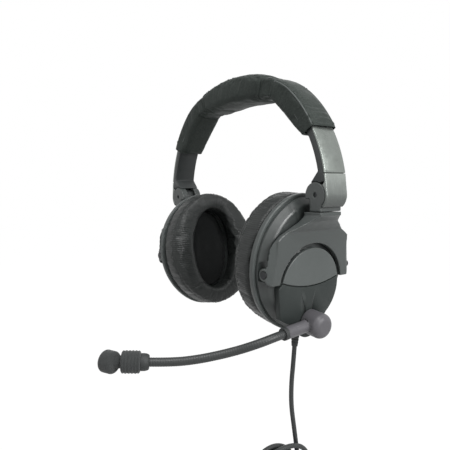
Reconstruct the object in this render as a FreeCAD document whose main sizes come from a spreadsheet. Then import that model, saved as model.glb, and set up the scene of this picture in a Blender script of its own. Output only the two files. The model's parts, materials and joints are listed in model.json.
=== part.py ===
import FreeCAD, Part
import math
import os

import Sketcher

# Aviation headset with a boom microphone, built at its real size in millimetres.
# +Z is up, the wearer looks along -Y and the wearer's left ear is at +X. The origin is
# the middle of the crown pad's underside, where the headset rests on the head.

SIZES = [
    # Headband, seen from the front: an arc over each ear, a tighter shoulder and a flat crown
    ("arm_radius", 98.2),
    ("arm_thickness", 6.3),
    ("arm_width", 20.8),
    ("shoulder_start_angle", 48.0),
    ("shoulder_radius", 50.0),
    ("crown_start_angle", 68.2),
    ("spring_thickness", 1.2),
    ("spring_width", 16.0),
    ("spring_end_angle", 60.5),
    # Padding of the headband
    ("crown_pad_depth", 15.0),
    ("crown_pad_rise", 6.4),
    ("crown_pad_edge_depth", 9.0),
    ("pad_width", 31.0),
    ("pad_rounding", 4.0),
    ("side_pad_end_angle", 29.5),
    ("side_pad_end_thickness", 3.4),
    ("side_pad_edge_depth", 8.4),
    ("sleeve_thickness", 0.6),
    ("sleeve_end_angle", 28.5),
    # Slider housing and the arm that slides in it
    ("housing_wall", 1.2),
    ("housing_mouth_angle", 29.2),
    ("housing_stop_angle", 53.5),
    ("arm_end_angle", 41.0),
    ("cover_thickness", 1.5),
    ("cover_line_angle", 9.6),
    ("cover_seam_angle", 0.25),
    ("frame_foot_angle", 6.4),
    ("saddle_top_angle", 12.5),
    ("saddle_inner_angle", 115.0),
    ("saddle_outer_angle", 62.0),
    ("rivet_radius", 1.5),
    ("rivet_spacing", 9.0),
    ("rivet_angle", 64.5),
    # Folding hinge at the foot of the arm
    ("hinge_inset", 7.7),
    ("hinge_rise", 2.0),
    ("knuckle_radius", 9.0),
    ("hinge_cover_radius", 9.4),
    ("hinge_cover_start_angle", 45.0),
    ("hinge_cover_end_angle", 52.0),
    ("tongue_radius", 6.4),
    ("tongue_width", 8.0),
    ("tongue_gap", 0.4),
    ("hinge_pin_radius", 1.6),
    ("hinge_pin_sink", 1.0),
    ("knuckle_drop", 11.4),
    ("knuckle_inner_reach", 9.6),
    ("knuckle_outer_reach", 5.3),
    ("knuckle_corner", 5.0),
    ("knuckle_bevel", 3.0),
    # Yoke: swivels below the knuckle and carries the ear cup between its two tips
    ("swivel_inset", 2.3),
    ("swivel_post_radius", 3.5),
    ("swivel_post_height", 5.0),
    ("swivel_clip_thickness", 0.8),
    ("swivel_clip_depth", 1.0),
    ("swivel_clip_grip", 0.8),
    ("swivel_clip_reach", 0.9),
    ("swivel_clip_gap", 0.1),
    ("swivel_roof", 1.0),
    ("yoke_gap", 0.4),
    ("yoke_drop", 41.75),
    ("yoke_inset", 15.4),
    ("yoke_neck_half_width", 10.4),
    ("yoke_neck_depth", 15.3),
    ("yoke_neck_lip", 2.5),
    ("yoke_neck_flare", 4.0),
    ("yoke_shoulder_height", 28.5),
    ("yoke_flank_radius", 24.0),
    ("yoke_flank_angle", 60.0),
    ("yoke_flank_height", 6.0),
    ("yoke_corner_radius", 5.5),
    ("yoke_foot_lift", 1.0),
    ("yoke_foot_bevel", 1.4),
    ("yoke_half_width", 42.5),
    ("yoke_bend_half_width", 35.5),
    ("yoke_bend_depth", 4.0),
    ("yoke_tip_drop", 9.0),
    ("yoke_plate_inner", 1.7),
    ("yoke_plate_thickness", 4.0),
    ("yoke_ear_thickness", 3.6),
    ("yoke_ear_radius", 4.5),
    ("ear_recess_gap", 0.5),
    ("arch_clearance", 2.8),
    ("pivot_screw_radius", 1.6),
    ("pivot_head_radius", 2.8),
    ("pivot_head_height", 1.2),
    ("pivot_screw_length", 9.0),
    # Ear cup, measured outwards from the front of the ear cushion
    ("toe_in_angle", 6.2),
    ("pivot_drop", 3.0),
    ("cushion_half_width", 45.0),
    ("cushion_half_height", 51.0),
    ("cushion_end_radius", 36.0),
    ("cushion_thickness", 21.5),
    ("cushion_rounding", 8.0),
    ("ear_half_width", 22.7),
    ("ear_half_height", 35.5),
    ("ear_end_radius", 18.0),
    ("soft_gap", 0.3),
    ("rim_overhang", 0.5),
    ("rim_thickness", 3.6),
    ("rim_wall", 4.5),
    ("rim_rounding", 1.0),
    ("shell_inset", 2.0),
    ("shell_straight", 2.5),
    ("shell_dome", 5.1),
    ("shell_dome_angle", 50.0),
    ("shell_wall", 2.0),
    ("shell_hollow_half_width", 33.6),
    ("shell_hollow_inset", 5.8),
    ("pod_radius", 28.5),
    ("pod_drop", 15.0),
    ("pod_height", 3.0),
    ("cap_thickness", 2.2),
    ("cap_rounding", 0.8),
    ("cap_line_drop", 10.0),
    ("cap_line_sag", 5.0),
    ("cap_line_gap", 0.6),
    ("panel_overhang", 3.5),
    ("panel_front_rise", 1.5),
    ("panel_front_drop", 21.5),
    ("panel_corner_angle", 50.0),
    ("panel_flank_angle", 18.2),
    # Inside the ear cup
    ("baffle_thickness", 2.0),
    ("baffle_gap", 0.3),
    ("driver_radius", 20.0),
    ("driver_flange", 2.4),
    ("driver_flange_thickness", 1.4),
    ("driver_basket_radius", 16.0),
    ("driver_basket_height", 2.6),
    ("driver_magnet_radius", 10.0),
    ("driver_magnet_height", 2.0),
    ("diaphragm_radius", 17.0),
    ("driver_recess", 1.0),
    ("scrim_thickness", 3.2),
    ("screw_radius", 1.2),
    ("screw_head_radius", 2.2),
    ("screw_head_height", 1.3),
    ("screw_across", 26.0),
    ("screw_up", 24.0),
    ("screw_post_radius", 2.8),
    # Boom and its friction joint at the foot of the left cup
    ("hub_drop", 41.2),
    ("hub_radius", 9.2),
    ("hub_boss_radius", 12.5),
    ("hub_length", 16.0),
    ("hub_rounding", 5.0),
    ("hub_washer_thickness", 0.6),
    ("hub_washer_radius", 8.0),
    ("hub_shaft_radius", 2.5),
    ("hub_shaft_reach", 7.0),
    ("running_gap", 0.05),
    ("boom_height", 4.7),
    ("sleeve_radius", 4.4),
    ("boom_sleeve_length", 28.0),
    ("boom_sleeve_fall_angle", 5.0),
    ("collar_radius", 4.5),
    ("collar_length", 2.5),
    ("gooseneck_radius", 3.0),
    ("elbow_radius", 3.0),
    ("elbow_gap", 1.2),
    ("elbow_clearance", 0.2),
    ("elbow_stem_radius", 2.1),
    ("gooseneck_straight", 8.0),
    # Microphone, measured along the boom from the ferrule
    ("ferrule_radius", 5.8),
    ("ferrule_length", 5.0),
    ("barrel_radius", 7.6),
    ("barrel_length", 13.0),
    ("barrel_chamfer", 1.6),
    ("barrel_rib_count", 5.0),
    ("barrel_rib_depth", 0.5),
    ("mic_neck_gap", 0.2),
    ("mic_neck_overlap", 3.0),
    ("mic_neck_radius", 4.2),
    ("mic_neck_length", 2.0),
    ("capsule_radius", 7.5),
    ("capsule_length", 9.8),
    ("capsule_turn_angle", 32.0),
    ("capsule_wall", 1.2),
    ("capsule_rounding", 2.4),
    ("capsule_centre", 5.6),
    ("mic_element_length", 5.0),
    # Cable: its relief, its two plugs and the coil of the put-away length
    ("cable_radius", 1.75),
    ("relief_top_radius", 3.8),
    ("relief_tip_radius", 2.3),
    ("relief_length", 15.6),
    ("relief_depth", 29.2),
    ("relief_forward", 3.5),
    ("relief_sink", 1.8),
    ("cable_straight", 13.0),
    ("coil_radius", 20.5),
    ("coil_half_section", 6.7),
    ("tie_width", 8.0),
    ("tie_thickness", 1.2),
    ("tie_gap", 0.1),
    ("splitter_length", 24.0),
    ("splitter_radius", 6.5),
    ("splitter_neck_radius", 3.4),
    ("splitter_neck_length", 5.0),
    ("splitter_rounding", 2.0),
    ("lead_radius", 1.4),
    ("lead_spread", 3.4),
    ("plug_grip_radius", 6.2),
    ("plug_grip_length", 30.0),
    ("plug_neck_radius", 3.0),
    ("plug_neck_length", 8.5),
    ("plug_bevel", 1.5),
    ("headphone_pin_radius", 3.175),
    ("headphone_pin_length", 30.5),
    ("microphone_pin_radius", 2.615),
    ("microphone_pin_length", 27.0),
    ("terminal_board_side", 12.0),
    ("terminal_board_thickness", 1.2),
    ("terminal_board_inset", 3.0),
]


document = FreeCAD.newDocument("aviation_headset")
sheet = document.addObject("Spreadsheet::Sheet", "dim")
for row, (alias, amount) in enumerate(SIZES, start=1):
    sheet.set(f"A{row}", alias)
    sheet.set(f"B{row}", str(amount))
    sheet.setAlias(f"B{row}", alias)
document.recompute()


class Size:
    """A number together with the spreadsheet expression that gives it."""

    def __init__(self, value, text):
        self.value = value
        self.text = text

    def __add__(self, other):
        other = as_size(other)
        return Size(self.value + other.value, f"({self.text} + {other.text})")

    def __sub__(self, other):
        other = as_size(other)
        return Size(self.value - other.value, f"({self.text} - {other.text})")

    def __mul__(self, other):
        other = as_size(other)
        return Size(self.value * other.value, f"({self.text} * {other.text})")

    def __truediv__(self, other):
        other = as_size(other)
        return Size(self.value / other.value, f"({self.text} / {other.text})")

    def __neg__(self):
        return Size(-self.value, f"(0 - {self.text})")

    def __rsub__(self, other):
        return as_size(other) - self

    __radd__ = __add__
    __rmul__ = __mul__


def as_size(number):
    """Lets a plain number stand where a bound size may stand."""
    if isinstance(number, Size):
        return number
    return Size(float(number), f"({float(number)!r})")


def sine(angle):
    return Size(math.sin(math.radians(angle.value)), f"sin({angle.text})")


def cosine(angle):
    return Size(math.cos(math.radians(angle.value)), f"cos({angle.text})")


def root(area):
    return Size(math.sqrt(area.value), f"sqrt({area.text})")


class Dimensions:
    """Gives each size of the sheet by its name."""

    def __getattr__(self, alias):
        return Size(float(sheet.get(alias)), f"dim.{alias}")


D = Dimensions()
pieces = []


def bind(target, path, size):
    """Binds one property of an object to the sheet."""
    target.setExpression(path, as_size(size).text)


def place(piece, x=0.0, z=0.0, y=0.0, turn=None):
    """Puts a piece at a bound place, turned about the axis across the head."""
    angle = as_size(0.0) if turn is None else turn
    piece.Placement = FreeCAD.Placement(
        FreeCAD.Vector(as_size(x).value, as_size(y).value, as_size(z).value),
        FreeCAD.Rotation(FreeCAD.Vector(0, 1, 0), angle.value),
    )
    bind(piece, "Placement.Base.x", x)
    bind(piece, "Placement.Base.y", y)
    bind(piece, "Placement.Base.z", z)
    if turn is not None:
        bind(piece, "Placement.Rotation.Angle", turn)


def new_body(label):
    """Starts a body that becomes the node of that name."""
    body = document.addObject("PartDesign::Body", label)
    body.Label = label
    return body


def keep(piece, label=None):
    """Lists a finished piece for export."""
    if label:
        piece.Label = label
    pieces.append(piece)
    return piece


def mirrored(source, label):
    """The right-hand twin of a left-hand piece."""
    twin = document.addObject("Part::Mirroring", label)
    twin.Source = source
    twin.Normal = FreeCAD.Vector(1, 0, 0)
    twin.Base = FreeCAD.Vector(0, 0, 0)
    return keep(twin, label)


def pair(source, name):
    """Keeps a left-hand piece and its right-hand twin."""
    keep(source, f"left_{name}")
    return mirrored(source, f"right_{name}")


class Outline:
    """A sketch of closed loops on one of a body's own planes, bound to the sheet."""

    def __init__(self, body, role, offset=0.0):
        self.sketch = body.newObject("Sketcher::SketchObject", f"{body.Name}_outline")
        plane = next(f for f in body.Origin.OriginFeatures if f.Role == role)
        self.sketch.AttachmentSupport = (plane, [""])
        self.sketch.MapMode = "FlatFace"
        bind(self.sketch, "AttachmentOffset.Base.z", offset)

    def hold(self, kind, where, size):
        """Adds one constraint and binds its value."""
        index = self.sketch.addConstraint(Sketcher.Constraint(kind, *where, size.value))
        self.sketch.setExpression(f"Constraints[{index}]", size.text)

    def hold_point(self, edge, end, x, y):
        self.hold("DistanceX", (-1, 1, edge, end), as_size(x))
        self.hold("DistanceY", (-1, 1, edge, end), as_size(y))

    def circle(self, x, y, radius):
        """A full circle about (x, y)."""
        centre = FreeCAD.Vector(as_size(x).value, as_size(y).value, 0)
        shape = Part.Circle(centre, FreeCAD.Vector(0, 0, 1), radius.value)
        edge = self.sketch.addGeometry(shape, False)
        self.hold_point(edge, 3, x, y)
        self.hold("Radius", (edge,), as_size(radius))
        return self

    def loop(self, corners):
        """A closed loop. A corner is (x, y), or (x, y, radius, centre) when an arc leaves it."""
        points = [(as_size(corner[0]), as_size(corner[1])) for corner in corners]
        edges = []
        for index, corner in enumerate(corners):
            start = FreeCAD.Vector(*(size.value for size in points[index]), 0)
            end = FreeCAD.Vector(*(size.value for size in points[(index + 1) % len(points)]), 0)
            if len(corner) == 2:
                edges.append((self.sketch.addGeometry(Part.LineSegment(start, end), False), 1, 2))
                continue
            radius, centre = corner[2], corner[3]
            middle = FreeCAD.Vector(as_size(centre[0]).value, as_size(centre[1]).value, 0)
            first, last = start - middle, end - middle
            forward = first.cross(last).z > 0
            if not forward:
                first, last = last, first
            arc = Part.ArcOfCircle(
                Part.Circle(middle, FreeCAD.Vector(0, 0, 1), as_size(radius).value),
                math.atan2(first.y, first.x),
                math.atan2(last.y, last.x),
            )
            edge = self.sketch.addGeometry(arc, False)
            edges.append((edge, 1, 2) if forward else (edge, 2, 1))
            self.hold("Radius", (edge,), as_size(radius))
        for index, (edge, start_end, _) in enumerate(edges):
            before, _, finish_end = edges[index - 1]
            self.sketch.addConstraint(
                Sketcher.Constraint("Coincident", before, finish_end, edge, start_end)
            )
            self.hold_point(edge, start_end, *points[index])
        return self

    def oval(self, half_width, half_height, end_radius, centre=0.0):
        """Four tangent arcs: two ends of end_radius and two longer sides."""
        end_centre = half_height - end_radius
        slack = half_width - end_radius
        side_offset = (end_centre * end_centre - slack * slack) / (2 * slack)
        reach = side_offset + slack
        side_radius = half_width + side_offset
        corner_x = end_radius * side_offset / reach
        corner_y = end_centre + end_radius * end_centre / reach
        upper = (0.0, centre + end_centre)
        lower = (0.0, centre - end_centre)
        return self.loop([
            (corner_x, centre - corner_y, side_radius, (-side_offset, centre)),
            (corner_x, centre + corner_y, end_radius, upper),
            (-corner_x, centre + corner_y, side_radius, (side_offset, centre)),
            (-corner_x, centre - corner_y, end_radius, lower),
        ])


def add_pad(body, outline, length, symmetric=False, flip=False, taper=None):
    """Adds material on an outline, away from its plane or to both sides."""
    feature = body.newObject("PartDesign::Pad", f"{body.Name}_pad")
    feature.Profile = outline.sketch
    feature.Length = as_size(length).value
    bind(feature, "Length", length)
    feature.SideType = "Symmetric" if symmetric else "One side"
    feature.Reversed = flip
    if taper is not None:
        bind(feature, "TaperAngle", -taper)
    document.recompute()
    return feature


def cut(body, outline, length, symmetric=False, flip=False):
    """Removes material inside an outline, and tests that it did."""
    before = body.Shape.Volume
    feature = body.newObject("PartDesign::Pocket", f"{body.Name}_pocket")
    feature.Profile = outline.sketch
    feature.Length = as_size(length).value
    bind(feature, "Length", length)
    feature.SideType = "Symmetric" if symmetric else "One side"
    feature.Reversed = flip
    document.recompute()
    if not body.Shape.Volume < before:
        raise ValueError(f"a pocket of {body.Label} removes nothing")
    return feature


def edge_names(feature, test):
    """The names of a feature's edges that pass a test."""
    return [f"Edge{index}" for index, edge in enumerate(feature.Shape.Edges, start=1) if test(edge)]


def round_edges(body, feature, radius, test):
    """Fillets the edges of a feature that pass a test."""
    fillet = body.newObject("PartDesign::Fillet", f"{body.Name}_fillet")
    fillet.Base = (feature, edge_names(feature, test))
    bind(fillet, "Radius", radius)
    document.recompute()
    return fillet


def lies_at_x(x):
    """A test for the edges that lie in one plane across the X axis of a body's own frame."""
    def test(edge):
        box = edge.BoundBox
        return abs(box.XMin - x.value) < 0.01 and abs(box.XMax - x.value) < 0.01
    return test


def cylinder(label, radius, height):
    """A round bar along its own Z axis."""
    bar = document.addObject("Part::Cylinder", label)
    bind(bar, "Radius", radius)
    bind(bar, "Height", height)
    return bar


# Headband geometry, in a frame at the common centre of the two arms

HALF_THICKNESS = D.arm_thickness / 2
SHOULDER = (
    (D.arm_radius - D.shoulder_radius) * cosine(D.shoulder_start_angle),
    (D.arm_radius - D.shoulder_radius) * sine(D.shoulder_start_angle),
)
CROWN_RADIUS = D.shoulder_radius + SHOULDER[0] / cosine(D.crown_start_angle)
CROWN = (0.0, SHOULDER[1] - (CROWN_RADIUS - D.shoulder_radius) * sine(D.crown_start_angle))
BAND_Z = D.crown_pad_depth - CROWN[1] - CROWN_RADIUS
SLIDE_GAP = D.soft_gap
HOUSING_OUTSIDE = HALF_THICKNESS + SLIDE_GAP + D.housing_wall
HINGE = (D.arm_radius - D.hinge_inset, BAND_Z + D.hinge_rise)
YOKE = (HINGE[0] - D.swivel_inset, HINGE[1] - D.knuckle_drop - D.yoke_gap)
CUP = (YOKE[0] - D.yoke_inset, YOKE[1] - D.yoke_drop)


def arm_corner(angle, offset, arc=True):
    """A corner of a strip that follows the arm's arc at an offset from its middle."""
    radius = D.arm_radius + offset
    corner = (radius * cosine(angle), radius * sine(angle))
    return corner + (radius, (0.0, 0.0)) if arc else corner


def shoulder_corner(angle, offset, arc=True):
    """A corner of a strip that follows the shoulder's arc."""
    radius = D.shoulder_radius + offset
    corner = (SHOULDER[0] + radius * cosine(angle), SHOULDER[1] + radius * sine(angle))
    return corner + (radius, SHOULDER) if arc else corner


def side_strip(start, end, inner, outer):
    """A strip from an angle on the arm's arc to an angle on the shoulder's arc."""
    return [
        arm_corner(start, outer),
        shoulder_corner(D.shoulder_start_angle, outer),
        shoulder_corner(end, outer, arc=False),
        shoulder_corner(end, inner),
        arm_corner(D.shoulder_start_angle, inner),
        arm_corner(start, inner, arc=False),
    ]


def mirror_corner(corner):
    """The same corner on the other side of the head."""
    flipped = (-as_size(corner[0]), corner[1])
    if len(corner) == 2:
        return flipped
    return flipped + (corner[2], (-as_size(corner[3][0]), corner[3][1]))


def turned_back(chain):
    """The mirror image of an open chain of corners, run through from its end to its start."""
    result = []
    for index in reversed(range(len(chain))):
        corner = (-as_size(chain[index][0]), chain[index][1])
        if index and len(chain[index - 1]) == 4:
            radius, centre = chain[index - 1][2:]
            corner += (radius, (-as_size(centre[0]), centre[1]))
        result.append(corner)
    return result


def crown_strip(end, inner, outer):
    """A strip over the crown that ends at the same angle on both shoulders."""
    def crown_arc(offset, flip):
        corner = shoulder_corner(D.crown_start_angle, offset, arc=False)
        corner = corner + (CROWN_RADIUS + offset, CROWN)
        return mirror_corner(corner) if flip else corner

    return [
        shoulder_corner(end, outer),
        crown_arc(outer, False),
        mirror_corner(shoulder_corner(D.crown_start_angle, outer)),
        mirror_corner(shoulder_corner(end, outer, arc=False)),
        mirror_corner(shoulder_corner(end, inner)),
        crown_arc(inner, True),
        shoulder_corner(D.crown_start_angle, inner),
        shoulder_corner(end, inner, arc=False),
    ]


def rivet_outline(body):
    """Two circles square to the headband where its spring is riveted."""
    outline = Outline(body, "XY_Plane")
    middle = shoulder_corner(D.rivet_angle, 0.0, arc=False)
    outline.sketch.AttachmentOffset = FreeCAD.Placement(
        FreeCAD.Vector(middle[0].value, 0, middle[1].value),
        FreeCAD.Rotation(FreeCAD.Vector(0, 1, 0), 90 - D.rivet_angle.value),
    )
    bind(outline.sketch, "AttachmentOffset.Base.x", middle[0])
    bind(outline.sketch, "AttachmentOffset.Base.z", middle[1])
    bind(outline.sketch, "AttachmentOffset.Rotation.Angle", 90 - D.rivet_angle)
    for side in (-1, 1):
        outline.circle(0.0, side * D.rivet_spacing / 2, D.rivet_radius)
    return outline


def make_spring():
    """The steel strip that clamps the headset on the head."""
    body = new_body("headband_spring")
    half = D.spring_thickness / 2
    strip = Outline(body, "XZ_Plane").loop(crown_strip(D.spring_end_angle, -half, half))
    add_pad(body, strip, D.spring_width, symmetric=True)
    cut(body, rivet_outline(body), 3 * HOUSING_OUTSIDE, symmetric=True)
    other = rivet_outline(body)
    middle = shoulder_corner(D.rivet_angle, 0.0, arc=False)
    bind(other.sketch, "AttachmentOffset.Base.x", -middle[0])
    bind(other.sketch, "AttachmentOffset.Rotation.Angle", D.rivet_angle - 90)
    cut(body, other, 3 * HOUSING_OUTSIDE, symmetric=True)
    place(body, z=BAND_Z)
    keep(body)


def make_crown_pad():
    """The padded segment over the crown, slotted for the spring."""
    body = new_body("crown_pad")
    edge = shoulder_corner(D.crown_start_angle, -D.crown_pad_edge_depth, arc=False)
    top = shoulder_corner(D.crown_start_angle, D.crown_pad_rise, arc=False)
    sag = -BAND_Z - edge[1]
    underside = (edge[0] * edge[0] + sag * sag) / (2 * sag)
    outline = Outline(body, "XZ_Plane").loop([
        top + (CROWN_RADIUS + D.crown_pad_rise, CROWN),
        mirror_corner(top),
        mirror_corner(edge) + (underside, (0.0, -BAND_Z - underside)),
        edge,
    ])
    block = add_pad(body, outline, D.pad_width, symmetric=True)
    half = D.pad_width.value / 2
    round_edges(body, block, D.pad_rounding, lambda edge: edge.BoundBox.YLength < 0.01
                and abs(abs(edge.BoundBox.YMax) - half) < 0.01 and edge.Length > 2 * half)
    gap = D.spring_thickness / 2 + D.soft_gap
    slot = Outline(body, "XZ_Plane").loop(crown_strip(D.spring_end_angle, -gap, gap))
    cut(body, slot, D.spring_width + 2 * D.soft_gap, symmetric=True)
    place(body, z=BAND_Z)
    keep(body)


def make_side_pad():
    """The sewn side piece: a pad under each slider housing and a vinyl sleeve over it."""
    body = new_body("left_side_pad")
    outside = -HOUSING_OUTSIDE
    end = D.crown_start_angle - D.soft_gap
    foot = arm_corner(D.side_pad_end_angle, outside - D.side_pad_end_thickness, arc=False)
    pad_outline = Outline(body, "XZ_Plane").loop([
        arm_corner(D.side_pad_end_angle, outside),
        shoulder_corner(D.shoulder_start_angle, outside),
        shoulder_corner(end, outside, arc=False),
        shoulder_corner(end, -D.side_pad_edge_depth, arc=False),
        foot,
    ])
    outer = HOUSING_OUTSIDE + D.sleeve_thickness
    housing_width = D.arm_width + 2 * (SLIDE_GAP + D.housing_wall)
    add_pad(body, pad_outline, housing_width + 2 * D.sleeve_thickness, symmetric=True)
    strip = side_strip(D.sleeve_end_angle, end, outside - D.sleeve_thickness, outer)
    sleeve = Outline(body, "XZ_Plane").loop(strip)
    add_pad(body, sleeve, housing_width + 2 * D.sleeve_thickness, symmetric=True)
    hollow = side_strip(D.sleeve_end_angle - 2, D.crown_start_angle + 2, outside, HOUSING_OUTSIDE)
    cut(body, Outline(body, "XZ_Plane").loop(hollow), housing_width, symmetric=True)
    place(body, z=BAND_Z)
    pair(body, "side_pad")


def make_housing():
    """The channel that each arm slides in, with a solid end riveted to the spring."""
    body = new_body("left_slider_housing")
    width = D.arm_width + 2 * SLIDE_GAP
    end = D.crown_start_angle - D.soft_gap
    strip = side_strip(D.housing_mouth_angle, end, -HOUSING_OUTSIDE, HOUSING_OUTSIDE)
    add_pad(body, Outline(body, "XZ_Plane").loop(strip), width + 2 * D.housing_wall, symmetric=True)
    inner, outer = -HALF_THICKNESS - SLIDE_GAP, HALF_THICKNESS + SLIDE_GAP
    channel = Outline(body, "XZ_Plane").loop([
        arm_corner(D.housing_mouth_angle - 2, outer),
        arm_corner(D.housing_stop_angle, outer, arc=False),
        arm_corner(D.housing_stop_angle, inner),
        arm_corner(D.housing_mouth_angle - 2, inner, arc=False),
    ])
    cut(body, channel, width, symmetric=True)
    half = D.spring_thickness / 2
    slot = Outline(body, "XZ_Plane").loop([
        shoulder_corner(D.spring_end_angle, half),
        shoulder_corner(D.crown_start_angle + 2, half, arc=False),
        shoulder_corner(D.crown_start_angle + 2, -half),
        shoulder_corner(D.spring_end_angle, -half, arc=False),
    ])
    cut(body, slot, D.spring_width, symmetric=True)
    cut(body, rivet_outline(body), 3 * HOUSING_OUTSIDE, symmetric=True)
    place(body, z=BAND_Z)
    pair(body, "slider_housing")


def make_rivets():
    """Two rivets at each end of the spring."""
    middle = shoulder_corner(D.rivet_angle, 0.0, arc=False)
    bars = []
    for side in (-1, 1):
        bar = cylinder(f"rivet_{len(bars) + 1}", D.rivet_radius, 2 * HOUSING_OUTSIDE - 0.2)
        reach = HOUSING_OUTSIDE - 0.1
        bar.Placement.Rotation = FreeCAD.Rotation(FreeCAD.Vector(0, 1, 0), 90 - D.rivet_angle.value)
        bind(bar, "Placement.Rotation.Angle", 90 - D.rivet_angle)
        bind(bar, "Placement.Base.x", middle[0] - reach * cosine(D.rivet_angle))
        bind(bar, "Placement.Base.y", side * D.rivet_spacing / 2)
        bind(bar, "Placement.Base.z", BAND_Z + middle[1] - reach * sine(D.rivet_angle))
        bars.append(bar)
    left = document.addObject("Part::Compound", "left_rivets")
    left.Links = bars
    right = document.addObject("Part::Mirroring", "right_rivets")
    right.Source = left
    right.Normal = FreeCAD.Vector(1, 0, 0)
    group = document.addObject("Part::Compound", "spring_rivets")
    group.Links = [left, right]
    keep(group)


def make_arm():
    """The curved arm frame with the hinge tongue at its foot, and its bright covers."""
    inner = -HALF_THICKNESS
    seat = HALF_THICKNESS - D.cover_thickness
    hinge = (HINGE[0], D.hinge_rise)

    frame = new_body("left_arm_frame")
    strip = Outline(frame, "XZ_Plane").loop([
        arm_corner(D.frame_foot_angle, seat),
        arm_corner(D.arm_end_angle, seat, arc=False),
        arm_corner(D.arm_end_angle, inner),
        arm_corner(D.frame_foot_angle, inner, arc=False),
    ])
    add_pad(frame, strip, D.arm_width, symmetric=True)
    tongue = Outline(frame, "XZ_Plane").circle(*hinge, D.tongue_radius)
    add_pad(frame, tongue, D.tongue_width, symmetric=True)
    neck = Outline(frame, "XZ_Plane").loop([
        (hinge[0] - D.tongue_radius / 2, hinge[1]),
        (hinge[0] + 0.7 * D.tongue_radius, hinge[1] + 0.7 * D.tongue_radius),
        arm_corner(D.frame_foot_angle, seat, arc=False),
        arm_corner(D.frame_foot_angle + 1, inner, arc=False),
    ])
    add_pad(frame, neck, D.tongue_width, symmetric=True)
    reach = D.knuckle_radius + D.soft_gap
    inner_end, outer_end = (
        (hinge[0] + reach * cosine(angle), hinge[1] + reach * sine(angle))
        for angle in (D.saddle_inner_angle, D.saddle_outer_angle))
    saddle = Outline(frame, "XZ_Plane").loop([
        arm_corner(D.saddle_top_angle, 0.0, arc=False),
        inner_end + (reach, hinge),
        outer_end,
        arm_corner(D.frame_foot_angle, 0.0, arc=False),
    ])
    add_pad(frame, saddle, D.arm_width, symmetric=True)
    bore = Outline(frame, "XZ_Plane").circle(*hinge, D.hinge_pin_radius)
    cut(frame, bore, D.arm_width, symmetric=True)
    place(frame, z=BAND_Z)
    pair(frame, "arm_frame")

    cover = new_body("left_arm_cover")
    line = Outline(cover, "XZ_Plane").loop([
        arm_corner(D.cover_line_angle, HALF_THICKNESS),
        arm_corner(D.arm_end_angle, HALF_THICKNESS, arc=False),
        arm_corner(D.arm_end_angle, seat),
        arm_corner(D.cover_line_angle, seat, arc=False),
    ])
    add_pad(cover, line, D.arm_width, symmetric=True)
    place(cover, z=BAND_Z)
    pair(cover, "arm_cover")

    guard = new_body("left_hinge_cover")
    top = D.cover_line_angle - D.cover_seam_angle
    outer_radius = D.hinge_cover_radius + D.cover_thickness
    outer_end = (hinge[0] + outer_radius * cosine(D.hinge_cover_end_angle),
                 hinge[1] - outer_radius * sine(D.hinge_cover_end_angle))
    inner_end = (hinge[0] + D.hinge_cover_radius * cosine(D.hinge_cover_end_angle),
                 hinge[1] - D.hinge_cover_radius * sine(D.hinge_cover_end_angle))
    inner_start = (hinge[0] + D.hinge_cover_radius * cosine(D.hinge_cover_start_angle),
                   hinge[1] + D.hinge_cover_radius * sine(D.hinge_cover_start_angle))
    guard_line = Outline(guard, "XZ_Plane").loop([
        arm_corner(top, HALF_THICKNESS, arc=False),
        arm_corner(top, seat),
        arm_corner(D.frame_foot_angle, seat, arc=False),
        inner_start + (D.hinge_cover_radius, hinge),
        inner_end,
        outer_end + (outer_radius, hinge),
        (hinge[0] + outer_radius, hinge[1]),
    ])
    add_pad(guard, guard_line, D.arm_width, symmetric=True)
    place(guard, z=BAND_Z)
    pair(guard, "hinge_cover")


def make_hinge_pin():
    """The pin that the knuckle folds on."""
    pin = cylinder("left_hinge_pin", D.hinge_pin_radius, D.arm_width - 2 * D.hinge_pin_sink)
    pin.Placement.Rotation = FreeCAD.Rotation(FreeCAD.Vector(1, 0, 0), 90)
    bind(pin, "Placement.Base.x", HINGE[0])
    bind(pin, "Placement.Base.y", D.arm_width / 2 - D.hinge_pin_sink)
    bind(pin, "Placement.Base.z", HINGE[1])
    pair(pin, "hinge_pin")


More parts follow.
